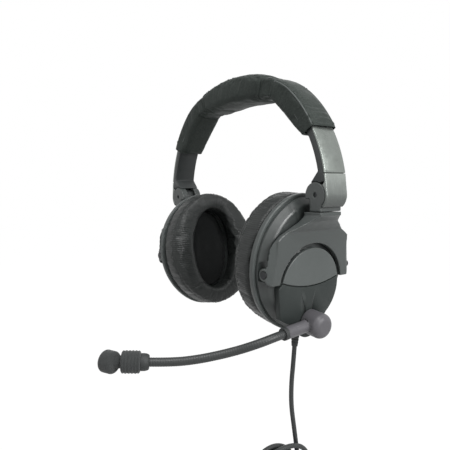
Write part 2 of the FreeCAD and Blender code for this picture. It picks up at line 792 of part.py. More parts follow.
def make_knuckle():
    """The folding block: two cheeks on the pin and a socket for the yoke's post."""
    body = new_body("left_hinge_knuckle")
    cheeks = Outline(body, "XZ_Plane").circle(0.0, 0.0, D.knuckle_radius)
    add_pad(body, cheeks, D.arm_width, symmetric=True)
    block = Outline(body, "XZ_Plane").loop([
        (-D.knuckle_radius, 0.0),
        (-D.knuckle_inner_reach, -D.knuckle_drop),
        (D.knuckle_outer_reach, -D.knuckle_drop),
        (D.knuckle_outer_reach, -D.knuckle_radius * 0.75),
        (0.0, 0.0),
    ])
    add_pad(body, block, D.arm_width, symmetric=True)
    bevel = Outline(body, "XZ_Plane").loop([
        (-2 * D.knuckle_inner_reach, -2 * D.knuckle_drop),
        (-D.knuckle_inner_reach + D.knuckle_bevel, -2 * D.knuckle_drop),
        (-D.knuckle_inner_reach + D.knuckle_bevel, -D.knuckle_drop),
        (-D.knuckle_inner_reach, -D.knuckle_drop + D.knuckle_bevel),
        (-2 * D.knuckle_inner_reach, -D.knuckle_drop + D.knuckle_bevel),
    ])
    cut(body, bevel, D.arm_width, symmetric=True)
    for flank in (-1, 1):
        inner_edge = -D.knuckle_inner_reach
        side_edge = flank * D.arm_width / 2
        corner = Outline(body, "XY_Plane", offset=-D.knuckle_drop).loop([
            (inner_edge, side_edge - flank * D.knuckle_corner),
            (inner_edge + D.knuckle_corner, side_edge),
            (inner_edge + D.knuckle_corner, side_edge + flank),
            (inner_edge - 1.0, side_edge + flank),
            (inner_edge - 1.0, side_edge - flank * D.knuckle_corner),
        ])
        cut(body, corner, D.knuckle_drop - D.knuckle_corner / 2, flip=True)
    slot_radius = D.tongue_radius + D.tongue_gap
    slot = Outline(body, "XZ_Plane").loop([
        (-slot_radius, 0.0, slot_radius, (0.0, 0.0)),
        (0.0, -slot_radius, slot_radius, (0.0, 0.0)),
        (slot_radius, 0.0),
        (2 * D.knuckle_radius, 0.0),
        (2 * D.knuckle_radius, 2 * D.knuckle_radius),
        (-2 * D.knuckle_radius, 2 * D.knuckle_radius),
        (-2 * D.knuckle_radius, 0.0),
    ])
    cut(body, slot, D.tongue_width + 2 * D.soft_gap, symmetric=True)
    bore = Outline(body, "XZ_Plane").circle(0.0, 0.0, D.hinge_pin_radius + D.running_gap)
    cut(body, bore, 2 * D.arm_width, symmetric=True)
    socket = Outline(body, "XY_Plane", offset=-D.knuckle_drop)
    socket.circle(-D.swivel_inset, 0.0, D.swivel_post_radius + D.running_gap)
    cut(body, socket, D.knuckle_drop - D.swivel_roof, flip=True)
    groove = Outline(body, "XY_Plane", offset=-D.knuckle_drop + D.swivel_clip_depth)
    groove.circle(-D.swivel_inset, 0.0,
                  D.swivel_post_radius + D.swivel_clip_reach + 3 * D.swivel_clip_gap)
    cut(body, groove, D.swivel_clip_thickness + 2 * D.swivel_clip_gap, flip=True)
    place(body, x=HINGE[0], z=HINGE[1])
    pair(body, "hinge_knuckle")


def cup_corner(depth, height):
    """A point of the ear cup's side view, seen in the yoke's frame, from the tilt pivot."""
    return (
        -D.yoke_inset + depth * cosine(D.toe_in_angle) + height * sine(D.toe_in_angle),
        -D.yoke_drop - depth * sine(D.toe_in_angle) + height * cosine(D.toe_in_angle),
    )


def make_yoke():
    """The yoke: a shield-shaped plate with an arch for the cup's pod and two tips."""
    body = new_body("left_yoke")
    inner, outer = D.yoke_plate_inner, D.yoke_plate_inner + D.yoke_plate_thickness
    neck = D.yoke_neck_depth / 2
    side = Outline(body, "XZ_Plane").loop([
        (-neck, 0.0),
        (-neck, -D.yoke_neck_lip),
        cup_corner(inner, D.yoke_shoulder_height),
        cup_corner(inner, -D.yoke_tip_drop / 2),
        cup_corner(inner + D.yoke_foot_bevel, -D.yoke_tip_drop),
        cup_corner(outer, -D.yoke_tip_drop),
        cup_corner(outer, D.yoke_shoulder_height),
        (neck / 4, -2.5 * D.yoke_neck_lip),
        (neck, -D.yoke_neck_lip),
        (neck, 0.0),
    ])
    add_pad(body, side, 2 * D.yoke_half_width, symmetric=True)
    ears = Outline(body, "XZ_Plane").circle(-D.yoke_inset, -D.yoke_drop, D.yoke_ear_radius)
    add_pad(body, ears, 2 * D.yoke_half_width, symmetric=True)
    low, high = -2 * D.yoke_ear_radius, 2 * D.yoke_ear_radius
    between = Outline(body, "XZ_Plane").loop([
        cup_corner(low, low), cup_corner(inner, low), cup_corner(inner, high), cup_corner(low, high),
    ])
    cut(body, between, 2 * (D.yoke_half_width - D.yoke_ear_thickness), symmetric=True)

    far = 2 * D.yoke_half_width
    bend = cup_corner(outer, 0.0)[0]
    for flank in (-1, 1):
        slope = Outline(body, "XY_Plane").loop([
            (bend + D.yoke_tip_drop * sine(D.toe_in_angle), flank * D.yoke_bend_half_width),
            (bend - D.yoke_bend_depth, flank * D.yoke_half_width),
            (bend - D.yoke_bend_depth, flank * far),
            (bend + far, flank * far),
            (bend + far, flank * D.yoke_bend_half_width),
        ])
        cut(body, slope, 3 * D.yoke_drop, symmetric=True)

    arch_radius = D.pod_radius + D.arch_clearance
    arch_centre = -D.yoke_drop - D.pod_drop + D.pivot_drop
    foot = -D.yoke_drop - D.yoke_tip_drop
    low_edge = foot + D.yoke_foot_lift
    rise = low_edge - arch_centre
    arch_half = root(arch_radius * arch_radius - rise * rise)
    flank = (D.yoke_half_width - D.yoke_flank_radius, D.yoke_flank_height - D.yoke_drop)
    corner = (D.yoke_half_width - D.yoke_corner_radius, low_edge + D.yoke_corner_radius)
    front = Outline(body, "YZ_Plane", offset=-far)
    front.loop([(-far, 2 * foot), (far, 2 * foot), (far, D.yoke_drop), (-far, D.yoke_drop)])
    half_outline = [
        (D.yoke_neck_half_width, D.yoke_neck_lip),
        (D.yoke_neck_half_width, -D.yoke_neck_lip),
        (D.yoke_neck_half_width + D.yoke_neck_flare, -2.5 * D.yoke_neck_lip),
        (flank[0] + D.yoke_flank_radius * cosine(D.yoke_flank_angle),
         flank[1] + D.yoke_flank_radius * sine(D.yoke_flank_angle), D.yoke_flank_radius, flank),
        (D.yoke_half_width, flank[1]),
        (D.yoke_half_width, corner[1], D.yoke_corner_radius, corner),
        (corner[0], low_edge),
    ]
    arch = (arch_radius, (0.0, arch_centre))
    front.loop(
        half_outline + [(arch_half, low_edge) + arch, (0.0, arch_centre + arch_radius) + arch]
        + [(-arch_half, low_edge)] + turned_back(half_outline))
    cut(body, front, 2 * far, flip=True)

    post = Outline(body, "XY_Plane", offset=-D.yoke_neck_lip)
    post.circle(0.0, 0.0, D.swivel_post_radius)
    add_pad(body, post, D.yoke_neck_lip + D.swivel_post_height)
    groove_ring = Outline(body, "XY_Plane", offset=D.yoke_gap + D.swivel_clip_depth)
    groove_ring.circle(0.0, 0.0, D.swivel_post_radius + D.swivel_clip_grip)
    groove_ring.circle(0.0, 0.0, D.swivel_post_radius - D.swivel_clip_grip)
    cut(body, groove_ring, D.swivel_clip_thickness + 2 * D.swivel_clip_gap, flip=True)
    holes = Outline(body, "XZ_Plane").circle(-D.yoke_inset, -D.yoke_drop, D.pivot_screw_radius)
    cut(body, holes, 3 * D.yoke_half_width, symmetric=True)
    for flank in (-1, 1):
        sink = Outline(body, "XZ_Plane", offset=-flank * (D.yoke_half_width - D.pivot_head_height))
        sink.circle(-D.yoke_inset, -D.yoke_drop, D.pivot_head_radius + D.running_gap)
        cut(body, sink, D.yoke_ear_thickness, flip=flank < 0)
    place(body, x=YOKE[0], z=YOKE[1])
    pair(body, "yoke")


def make_swivel_clip():
    """The clip that keeps the yoke's post in the knuckle."""
    body = new_body("left_swivel_clip")
    level = D.yoke_gap + D.swivel_clip_depth + D.swivel_clip_gap
    ring = Outline(body, "XY_Plane", offset=level)
    ring.circle(0.0, 0.0, D.swivel_post_radius + D.swivel_clip_reach)
    ring.circle(0.0, 0.0, D.swivel_post_radius - D.swivel_clip_grip)
    add_pad(body, ring, D.swivel_clip_thickness)
    place(body, x=YOKE[0], z=YOKE[1])
    pair(body, "swivel_clip")


def make_pivot_screws():
    """The two screws that the ear cup tilts on, with their heads sunk in the yoke's tips."""
    screws = []
    for side in (-1, 1):
        shank = cylinder(f"pivot_shank_{len(screws)}", D.pivot_screw_radius, D.pivot_screw_length)
        head = cylinder(f"pivot_head_{len(screws)}", D.pivot_head_radius, D.pivot_head_height)
        for bar in (shank, head):
            bar.Placement.Rotation = FreeCAD.Rotation(FreeCAD.Vector(1, 0, 0), 90 * side)
            bind(bar, "Placement.Base.x", CUP[0])
            bind(bar, "Placement.Base.y", side * D.yoke_half_width)
            bind(bar, "Placement.Base.z", CUP[1])
        screw = document.addObject("Part::Fuse", f"pivot_screw_{len(screws)}")
        screw.Base = shank
        screw.Tool = head
        screws.append(screw)
    group = document.addObject("Part::Compound", "left_pivot_screws")
    group.Links = screws
    pair(group, "pivot_screws")


# Ear cup, in a frame at its tilt pivot: X outwards, Y across and Z up the cup

SHELL_DEPTH = D.cushion_thickness + D.soft_gap + D.rim_thickness
SHELL_TOP = SHELL_DEPTH + D.shell_straight + D.shell_dome
PIVOT_DEPTH = SHELL_TOP
POD_TOP = SHELL_TOP + D.pod_height
CAP_TOP = POD_TOP + D.cap_thickness
SHELL_HALF_HEIGHT = D.cushion_half_height - D.shell_inset
POD_CENTRE = D.pivot_drop - D.pod_drop
HUB_CENTRE = D.pivot_drop - D.hub_drop


def cup_outline(body, depth):
    """A sketch across the cup at a depth from the front of the cushion."""
    return Outline(body, "YZ_Plane", offset=depth - PIVOT_DEPTH)


def cup_oval(body, depth, inset, size=None):
    """The cup's oval, drawn in by an inset all round."""
    return cup_outline(body, depth).oval(
        D.cushion_half_width - inset, D.cushion_half_height - inset,
        D.cushion_end_radius - inset, D.pivot_drop)


def place_in_cup(piece):
    place(piece, x=CUP[0], z=CUP[1], turn=D.toe_in_angle)


def make_cushion():
    """The ear cushion: a padded ring round the ear."""
    body = new_body("left_ear_cushion")
    block = add_pad(body, cup_oval(body, 0.0, 0.0), D.cushion_thickness)
    round_edges(body, block, D.cushion_rounding, lies_at_x(-PIVOT_DEPTH))
    opening = cup_outline(body, 0.0).oval(
        D.ear_half_width, D.ear_half_height, D.ear_end_radius, D.pivot_drop)
    cut(body, opening, D.cushion_thickness, flip=True)
    place_in_cup(body)
    pair(body, "ear_cushion")


def make_baffle():
    """The moulded baffle: a rim that holds the cushion's skirt and a plate for the driver."""
    front = D.cushion_thickness + D.soft_gap
    body = new_body("left_baffle")
    block = add_pad(body, cup_oval(body, front, -D.rim_overhang), D.rim_thickness)
    round_edges(body, block, D.rim_rounding, lies_at_x(front - PIVOT_DEPTH + D.rim_thickness))
    behind = front + D.baffle_thickness
    cut(body, cup_oval(body, behind, D.rim_wall), D.rim_thickness, flip=True)
    hole = cup_outline(body, front).circle(0.0, D.pivot_drop, D.driver_radius + D.baffle_gap)
    cut(body, hole, D.baffle_thickness, flip=True)
    sinks = screw_circles(cup_outline(body, front), D.screw_head_radius + D.running_gap)
    cut(body, sinks, D.screw_head_height, flip=True)
    ways = screw_circles(cup_outline(body, front), D.screw_radius + D.running_gap)
    cut(body, ways, D.baffle_thickness, flip=True)
    place_in_cup(body)
    pair(body, "baffle")


def screw_circles(outline, radius):
    """Four circles where the baffle is screwed to the shell."""
    for across in (-1, 1):
        for up in (-1, 1):
            outline.circle(across * D.screw_across, D.pivot_drop + up * D.screw_up, radius)
    return outline


def make_shell():
    """The hollow shell with its sloping edge, its round pod and four screw posts."""
    body = new_body("left_cup_shell")
    add_pad(body, cup_oval(body, SHELL_DEPTH, D.shell_inset), D.shell_straight)
    add_pad(body, cup_oval(body, SHELL_DEPTH + D.shell_straight, D.shell_inset), D.shell_dome,
            taper=D.shell_dome_angle)
    pod = cup_outline(body, SHELL_TOP - D.shell_wall / 2).circle(0.0, POD_CENTRE, D.pod_radius)
    add_pad(body, pod, D.pod_height + D.shell_wall / 2)
    hollow_depth = D.shell_straight + D.shell_dome - D.shell_wall
    hollow = cup_outline(body, SHELL_DEPTH).oval(
        D.shell_hollow_half_width, SHELL_HALF_HEIGHT - D.shell_hollow_inset,
        D.shell_hollow_half_width - D.screw_head_radius, D.pivot_drop)
    cut(body, hollow, hollow_depth, flip=True)
    recess_radius = D.yoke_ear_radius + D.ear_recess_gap
    recess_depth = D.yoke_half_width - D.yoke_ear_thickness - D.soft_gap
    for flank in (-1, 1):
        recess = Outline(body, "XZ_Plane", offset=-flank * recess_depth).loop([
            (-recess_radius, -recess_radius),
            (2 * recess_radius, -D.yoke_tip_drop),
            (2 * recess_radius, 3 * recess_radius),
            (-recess_radius, 1.5 * recess_radius),
        ])
        cut(body, recess, D.yoke_ear_thickness * 3, flip=flank < 0)
    pod_hollow = cup_outline(body, SHELL_DEPTH).circle(0.0, POD_CENTRE, D.pod_radius - D.shell_wall)
    cut(body, pod_hollow, POD_TOP - SHELL_DEPTH - D.shell_wall, flip=True)
    post_start = D.cushion_thickness + D.soft_gap + D.baffle_thickness + D.running_gap
    posts = screw_circles(cup_outline(body, post_start), D.screw_post_radius)
    add_pad(body, posts, SHELL_TOP - 0.75 * D.shell_wall - post_start)
    bores = screw_circles(cup_outline(body, post_start), D.screw_radius)
    cut(body, bores, SHELL_TOP - D.shell_wall - post_start, flip=True)
    pivots = Outline(body, "XZ_Plane").circle(0.0, 0.0, D.pivot_screw_radius + D.running_gap)
    cut(body, pivots, 2 * D.yoke_half_width, symmetric=True)
    place_in_cup(body)
    return body


def top_line(gap):
    """The shallow arc that parts the cap from the panel below it."""
    half = root(D.pod_radius * D.pod_radius
                - (D.pod_drop - D.cap_line_drop) * (D.pod_drop - D.cap_line_drop))
    radius = (half * half + D.cap_line_sag * D.cap_line_sag) / (2 * D.cap_line_sag)
    level = D.pivot_drop - D.cap_line_drop + gap
    return half, level, radius, (0.0, level - D.cap_line_sag + radius)


def make_cap():
    """The round cap on the pod, above the panel."""
    body = new_body("left_pod_cap")
    half, level, radius, centre = top_line(D.cap_line_gap)
    top = POD_CENTRE + D.pod_radius
    outline = cup_outline(body, POD_TOP).loop([
        (half, level, D.pod_radius, (0.0, POD_CENTRE)),
        (0.0, top, D.pod_radius, (0.0, POD_CENTRE)),
        (-half, level, radius, centre),
    ])
    block = add_pad(body, outline, D.cap_thickness)
    round_edges(body, block, D.cap_rounding, lies_at_x(CAP_TOP - PIVOT_DEPTH))
    place_in_cup(body)
    pair(body, "pod_cap")


def make_panels():
    """The boom module on the left cup and the plain panel on the right one."""
    half, level, radius, centre = top_line(0.0)
    module = new_body("boom_module")
    side = (D.pod_radius * cosine(D.panel_corner_angle),
            POD_CENTRE - D.pod_radius * sine(D.panel_corner_angle))
    flank = D.hub_boss_radius * cosine(D.panel_flank_angle)
    lift = D.hub_boss_radius * sine(D.panel_flank_angle)
    outline = cup_outline(module, SHELL_TOP).loop([
        (-half, level, radius, centre),
        (half, level, D.pod_radius, (0.0, POD_CENTRE)),
        side,
        (flank, HUB_CENTRE - lift, D.hub_boss_radius, (0.0, HUB_CENTRE)),
        (0.0, HUB_CENTRE - D.hub_boss_radius, D.hub_boss_radius, (0.0, HUB_CENTRE)),
        (-flank, HUB_CENTRE - lift),
        (-half, POD_CENTRE - D.panel_front_drop),
        (-half - D.panel_overhang, POD_CENTRE + D.panel_front_rise),
    ])
    add_pad(module, outline, CAP_TOP - SHELL_TOP)
    seat = cup_outline(module, SHELL_TOP).circle(0.0, POD_CENTRE, D.pod_radius + D.running_gap)
    cut(module, seat, D.pod_height, flip=True)
    bore = cup_outline(module, SHELL_TOP).circle(0.0, HUB_CENTRE, D.hub_shaft_radius + D.running_gap)
    cut(module, bore, CAP_TOP - SHELL_TOP, flip=True)
    place_in_cup(module)
    keep(module)

    panel = new_body("right_panel_source")
    plain = cup_outline(panel, POD_TOP).loop([
        (half, level, radius, centre),
        (-half, level, D.pod_radius, (0.0, POD_CENTRE)),
        (0.0, POD_CENTRE - D.pod_radius, D.pod_radius, (0.0, POD_CENTRE)),
    ])
    plate = add_pad(panel, plain, D.cap_thickness)
    round_edges(panel, plate, D.cap_rounding, lies_at_x(CAP_TOP - PIVOT_DEPTH))
    place_in_cup(panel)
    mirrored(panel, "right_panel")


def make_driver():
    """The loudspeaker behind the baffle: a round basket with its magnet."""
    front = D.cushion_thickness + D.soft_gap
    back = front + D.baffle_thickness
    body = new_body("left_driver")
    face = cup_outline(body, front).circle(0.0, D.pivot_drop, D.driver_radius)
    add_pad(body, face, D.baffle_thickness)
    steps = [
        (D.driver_radius + D.driver_flange, D.driver_flange_thickness),
        (D.driver_basket_radius, D.driver_basket_height),
        (D.driver_magnet_radius, D.driver_magnet_height),
    ]
    for step_radius, height in steps:
        step = cup_outline(body, back).circle(0.0, D.pivot_drop, step_radius)
        add_pad(body, step, height)
        back = back + height
    recess = cup_outline(body, front).circle(0.0, D.pivot_drop, D.diaphragm_radius + D.running_gap)
    cut(body, recess, D.driver_recess, flip=True)
    place_in_cup(body)
    pair(body, "driver")


def make_scrim():
    """The foam disc over the driver, inside the ear cushion's opening."""
    scrim = new_body("left_ear_scrim")
    oval = cup_outline(scrim, D.cushion_thickness - D.scrim_thickness).oval(
        D.ear_half_width - D.soft_gap, D.ear_half_height - D.soft_gap,
        D.ear_end_radius - D.soft_gap, D.pivot_drop)
    add_pad(scrim, oval, D.scrim_thickness)
    place_in_cup(scrim)
    pair(scrim, "ear_scrim")


def make_cup_screws():
    """Four screws that hold the baffle to the shell."""
    body = new_body("left_cup_screws")
    body.AllowCompound = True
    front = D.cushion_thickness + D.soft_gap
    heads = screw_circles(cup_outline(body, front), D.screw_head_radius)
    add_pad(body, heads, D.screw_head_height - D.running_gap)
    shanks = screw_circles(cup_outline(body, front), D.screw_radius)
    add_pad(body, shanks, SHELL_TOP - D.shell_wall - front - D.soft_gap)
    place_in_cup(body)
    pair(body, "cup_screws")


# Boom: its friction hub stands on the boom module, its tube reaches forward and inward

HUB_START = CAP_TOP + D.hub_washer_thickness


def make_hub():
    """The hub knob with the sleeve that holds the gooseneck, its washer and its shaft."""
    washer = new_body("hub_washer")
    ring = cup_outline(washer, CAP_TOP).circle(0.0, HUB_CENTRE, D.hub_washer_radius)
    ring.circle(0.0, HUB_CENTRE, D.hub_shaft_radius + D.running_gap)
    add_pad(washer, ring, D.hub_washer_thickness)
    place_in_cup(washer)
    keep(washer)

    knob = new_body("boom_hub")
    barrel = cup_outline(knob, HUB_START).circle(0.0, HUB_CENTRE, D.hub_radius)
    block = add_pad(knob, barrel, D.hub_length)
    round_edges(knob, block, D.hub_rounding, lies_at_x(HUB_START + D.hub_length - PIVOT_DEPTH))
    reach = Outline(knob, "XZ_Plane")
    reach.circle(HUB_START + D.boom_height - PIVOT_DEPTH, HUB_CENTRE, D.sleeve_radius)
    tube = add_pad(knob, reach, D.boom_sleeve_length)
    tube.UseCustomVector = True
    fall = math.radians(D.boom_sleeve_fall_angle.value)
    tube.Direction = FreeCAD.Vector(0, -math.cos(fall), -math.sin(fall))
    tube.AlongSketchNormal = False
    bore = cup_outline(knob, HUB_START)
    bore.circle(0.0, HUB_CENTRE, D.hub_shaft_radius + D.running_gap)
    cut(knob, bore, D.hub_shaft_reach, flip=True)
    place_in_cup(knob)
    keep(knob)

    length = D.cap_thickness + D.hub_washer_thickness + D.hub_shaft_reach - 4 * D.running_gap
    shaft = cylinder("hub_shaft", D.hub_shaft_radius, length)
    shaft.Placement.Rotation = FreeCAD.Rotation(FreeCAD.Vector(0, 1, 0), 90)
    bind(shaft, "Placement.Rotation.Angle", 90 + D.toe_in_angle)
    start = POD_TOP - PIVOT_DEPTH + D.running_gap
    along, upward = cosine(D.toe_in_angle), sine(D.toe_in_angle)
    bind(shaft, "Placement.Base.x", CUP[0] + start * along + HUB_CENTRE * upward)
    bind(shaft, "Placement.Base.z", CUP[1] - start * upward + HUB_CENTRE * along)
    keep(shaft)


def in_part_frame(depth, across, height):
    """A point of the cup's frame, as a vector in the part's frame."""
    turn = math.radians(D.toe_in_angle.value)
    out = depth.value - PIVOT_DEPTH.value
    up = as_size(height).value
    return FreeCAD.Vector(
        CUP[0].value + out * math.cos(turn) + up * math.sin(turn),
        as_size(across).value,
        CUP[1].value - out * math.sin(turn) + up * math.cos(turn),
    )


def moved(start, steps):
    """The points of a route that is given as steps from its start."""
    return [start + FreeCAD.Vector(*step) for step in steps]


def smooth_path(points, name, diameter):
    """Straight runs joined by tangent arcs, each as large as its two runs allow."""
    edges = []
    start = points[0]
    radii = []
    for before, corner, after in zip(points, points[1:], points[2:]):
        first, second = corner - before, after - corner
        turn = first.getAngle(second)
        setback = 0.45 * min(first.Length, second.Length)
        radii.append(setback / math.tan(turn / 2))
        first.normalize()
        second.normalize()
        entry, leave = corner - first * setback, corner + second * setback
        inward = second - first
        inward.normalize()
        miss = radii[-1] * (1 / math.cos(turn / 2) - 1)
        edges.append(Part.LineSegment(start, entry).toShape())
        edges.append(Part.Arc(entry, corner + inward * miss, leave).toShape())
        start = leave
    edges.append(Part.LineSegment(start, points[-1]).toShape())
    if radii:
        print(f"{name}: radii {[round(r, 1) for r in radii]} for a diameter of {diameter:.1f}")
    return Part.Wire(edges)


def round_tube(label, points, radius):
    """A solid round tube along a smooth path."""
    path = smooth_path(points, label, 2 * radius.value)
    along = points[1] - points[0]
    section = Part.Wire([Part.makeCircle(radius.value, points[0], along)])
    shape = path.makePipeShell([section], True, False)
    expected = math.pi * radius.value ** 2 * path.Length
    if abs(shape.Volume - expected) > 0.01 * expected:
        raise ValueError(f"{label}: volume {shape.Volume:.0f}, expected {expected:.0f}")
    print(f"{label}: length {path.Length:.1f}")
    tube = document.addObject("Part::Feature", label)
    tube.Shape = shape
    return keep(tube, label)


def bar_between(start, end, radius):
    """A round bar between two points, as a shape."""
    along = end - start
    return Part.makeCylinder(radius.value, along.Length, start, along)


def keep_shape(label, shape):
    """Lists a shape made from sized parts as a node."""
    piece = document.addObject("Part::Feature", label)
    piece.Shape = shape
    return keep(piece, label)


def finished(label):
    """The shape of a piece that is already made."""
    document.recompute()
    return next(piece for piece in pieces if piece.Label == label).Shape


# The gooseneck's bends before the elbow, the elbow and the bends after it, from the collar's end
NEAR_BENDS = ((-2.6, -16.2, -2.8), (-7.6, -23.4, -5.6), (-13.4, -29.3, -8.4))
ELBOW = (-20.4, -39.6, -11.2)
FAR_BENDS = ((-28.6, -52.8, -13.6), (-37.0, -66.4, -14.6), (-45.2, -80.0, -13.6))


def make_boom():
    """The collar and the two parts of the gooseneck, which meet in an elbow."""
    fall = math.radians(D.boom_sleeve_fall_angle.value)
    root_point = in_part_frame(HUB_START + D.boom_height, 0.0, HUB_CENTRE)
    turn = FreeCAD.Rotation(FreeCAD.Vector(0, 1, 0), D.toe_in_angle.value)
    outward = turn.multVec(FreeCAD.Vector(0, -math.cos(fall), -math.sin(fall)))
    collar_start = root_point + outward * D.boom_sleeve_length.value
    collar_end = collar_start + outward * D.collar_length.value
    collar = bar_between(collar_start - outward, collar_end, D.collar_radius)
    keep_shape("boom_collar", collar.cut(finished("boom_hub")))

    elbow, far_route = collar_end + FreeCAD.Vector(*ELBOW), moved(collar_end, FAR_BENDS)
    route = [collar_end, collar_end + outward * D.gooseneck_straight.value]
    route += moved(collar_end, NEAR_BENDS)
    near_dir = (elbow - route[-1]).normalize()
    far_dir = (far_route[0] - elbow).normalize()
    gap, clearance = D.elbow_gap.value, D.elbow_clearance.value
    base = round_tube("gooseneck_base", route + [elbow - near_dir * gap], D.gooseneck_radius)
    ball = Part.makeSphere(D.elbow_radius.value - clearance / 2, elbow)
    stem = bar_between(elbow - near_dir * 1.5 * gap, elbow, D.elbow_stem_radius)
    base.Shape = base.Shape.fuse([ball, stem]).removeSplitter()
    round_tube("gooseneck_end", [elbow + far_dir * (D.elbow_radius.value + clearance)] + far_route,
               D.gooseneck_radius)
    return far_route[-1], (far_route[-1] - far_route[-2]).normalize()


def make_microphone(start, along):
    """The ferrule, the ribbed barrel and the turned capsule head with its element."""
    def at(distance):
        return start + along * as_size(distance).value

    keep_shape("mic_ferrule", bar_between(start, at(D.ferrule_length), D.ferrule_radius))
    barrel_start = D.ferrule_length
    barrel_end = barrel_start + D.barrel_length
    barrel = bar_between(at(barrel_start), at(barrel_end), D.barrel_radius)
    barrel = barrel.makeChamfer(D.barrel_chamfer.value, [barrel.Edges[0], barrel.Edges[2]])
    ribs = int(D.barrel_rib_count.value)
    pitch = (D.barrel_length.value - 2 * D.barrel_chamfer.value) / (ribs + 1)
    for index in range(1, ribs + 1):
        groove_at = barrel_start.value + D.barrel_chamfer.value + index * pitch
        ring = bar_between(at(groove_at - pitch / 5), at(groove_at + pitch / 5),
                           D.barrel_radius + 1.0)
        core = bar_between(at(groove_at - pitch), at(groove_at + pitch),
                           D.barrel_radius - D.barrel_rib_depth)
        barrel = barrel.cut(ring.cut(core))
    keep_shape("mic_barrel", barrel)

    neck_end = barrel_end + D.mic_neck_length
    neck = bar_between(at(barrel_end + D.mic_neck_gap), at(neck_end + D.mic_neck_overlap),
                       D.mic_neck_radius)
    facing = FreeCAD.Rotation(FreeCAD.Vector(0, 0, 1), -D.capsule_turn_angle.value).multVec(along)
    centre = at(neck_end + D.capsule_centre)
    back = centre - facing * D.capsule_length.value / 2
    front = centre + facing * D.capsule_length.value / 2
    drum = bar_between(back, front, D.capsule_radius)
    drum = drum.makeFillet(D.capsule_rounding.value, [drum.Edges[0], drum.Edges[2]])
    inside = D.capsule_radius - D.capsule_wall
    floor = back + facing * D.capsule_wall.value * 2
    hollow = bar_between(floor, front + facing, inside)
    keep_shape("mic_capsule_head", drum.fuse(neck).cut(hollow).removeSplitter())
    element_front = floor + facing * D.mic_element_length.value
    keep_shape("mic_element", bar_between(floor, element_front, inside - D.running_gap))


# Routes chosen by hand: the cable's from the relief's tip, the tail's from where it leaves the
# coil, and the leads' from the splitter's end
CABLE_STEPS = (
    (-1.9, -1.8, -28.0), (-1.1, -3.2, -45.0), (-0.2, -2.4, -62.0), (0.2, -2.6, -80.0),
    (0.2, -2.6, -97.0),
)
TAIL_START = (3.8, 3.0, 23.9)
TAIL_STEPS = (
    (0.0, 0.0, 0.0), (0.4, 12.0, 0.6), (0.4, 24.5, -5.0), (-0.5, 31.4, -17.5), (-0.6, 31.4, -31.0),
)
HEADPHONE_STEPS = (
    (0.0, 0.0, 0.0), (0.0, 0.0, -12.0), (0.8, 3.8, -29.0), (1.4, 5.4, -48.0), (1.4, 5.4, -66.0),
)
MICROPHONE_STEPS = (
    (0.0, 0.0, 0.0), (0.0, 0.0, -11.0), (-0.8, -3.8, -28.0), (-1.5, -5.6, -45.0),
    (-1.5, -5.6, -62.0),
)


def make_relief():
    """The strain relief at the foot of the left cup. Gives the cable's first point and direction."""
    foot = SHELL_HALF_HEIGHT - D.pivot_drop - D.relief_sink
    top = in_part_frame(D.relief_depth, -D.relief_forward, -foot)
    down = in_part_frame(D.relief_depth, -D.relief_forward, -foot - 1.0) - top
    cone = Part.makeCone(D.relief_top_radius.value, D.relief_tip_radius.value,
                         D.relief_length.value, top, down)
    keep_shape("cable_strain_relief", cone.cut(finished("left_cup_shell")))
    return top + down * D.relief_length.value, down


def make_cable(tip, down):
    """The hanging cable, the coil of its put-away length with a strap, and the tail below it."""
    route = [tip, tip + down * D.cable_straight.value] + moved(tip, CABLE_STEPS)
    ring_centre = route[-1] - FreeCAD.Vector(0, D.coil_radius.value, 0)
    across = FreeCAD.Vector(1, 0, 0)
    ring_radius, section_radius = D.coil_radius.value, D.coil_half_section.value
    ring = Part.makeTorus(ring_radius, section_radius, ring_centre, across)
    keep_shape("cable_coil", ring)
    outside_height = math.sqrt(section_radius * (2 * ring_radius + section_radius))
    route[-1] += FreeCAD.Vector(0, 0, outside_height * 0.62)
    cable = round_tube("cable", route, D.cable_radius)
    cable.Shape = cable.Shape.cut(ring)
    tail = moved(ring_centre + FreeCAD.Vector(*TAIL_START), TAIL_STEPS)
    cable_tail = round_tube("cable_tail", tail, D.cable_radius)
    cable_tail.Shape = cable_tail.Shape.cut(ring)

    inside = section_radius + D.tie_gap.value
    outside = inside + D.tie_thickness.value
    width = D.tie_width.value
    corner = ring_centre - FreeCAD.Vector(outside, ring_radius + outside, width / 2)
    slab = Part.makeBox(2 * outside, 2 * outside, width, corner)
    strap = Part.makeTorus(ring_radius, outside, ring_centre, across).common(slab)
    keep_shape("cable_tie", strap.cut(Part.makeTorus(ring_radius, inside, ring_centre, across)))
    return tail[-1]


def make_splitter(top):
    """The splitter where the cable becomes two leads. Gives the middle of its lower end."""
    neck_end = top - FreeCAD.Vector(0, 0, D.splitter_neck_length.value)
    end = top - FreeCAD.Vector(0, 0, D.splitter_length.value)
    block = bar_between(neck_end, end, D.splitter_radius)
    block = block.makeFillet(D.splitter_rounding.value, [block.Edges[0], block.Edges[2]])
    neck = bar_between(top, neck_end - FreeCAD.Vector(0, 0, 1), D.splitter_neck_radius)
    keep_shape("cable_splitter", block.fuse(neck).removeSplitter())
    return end


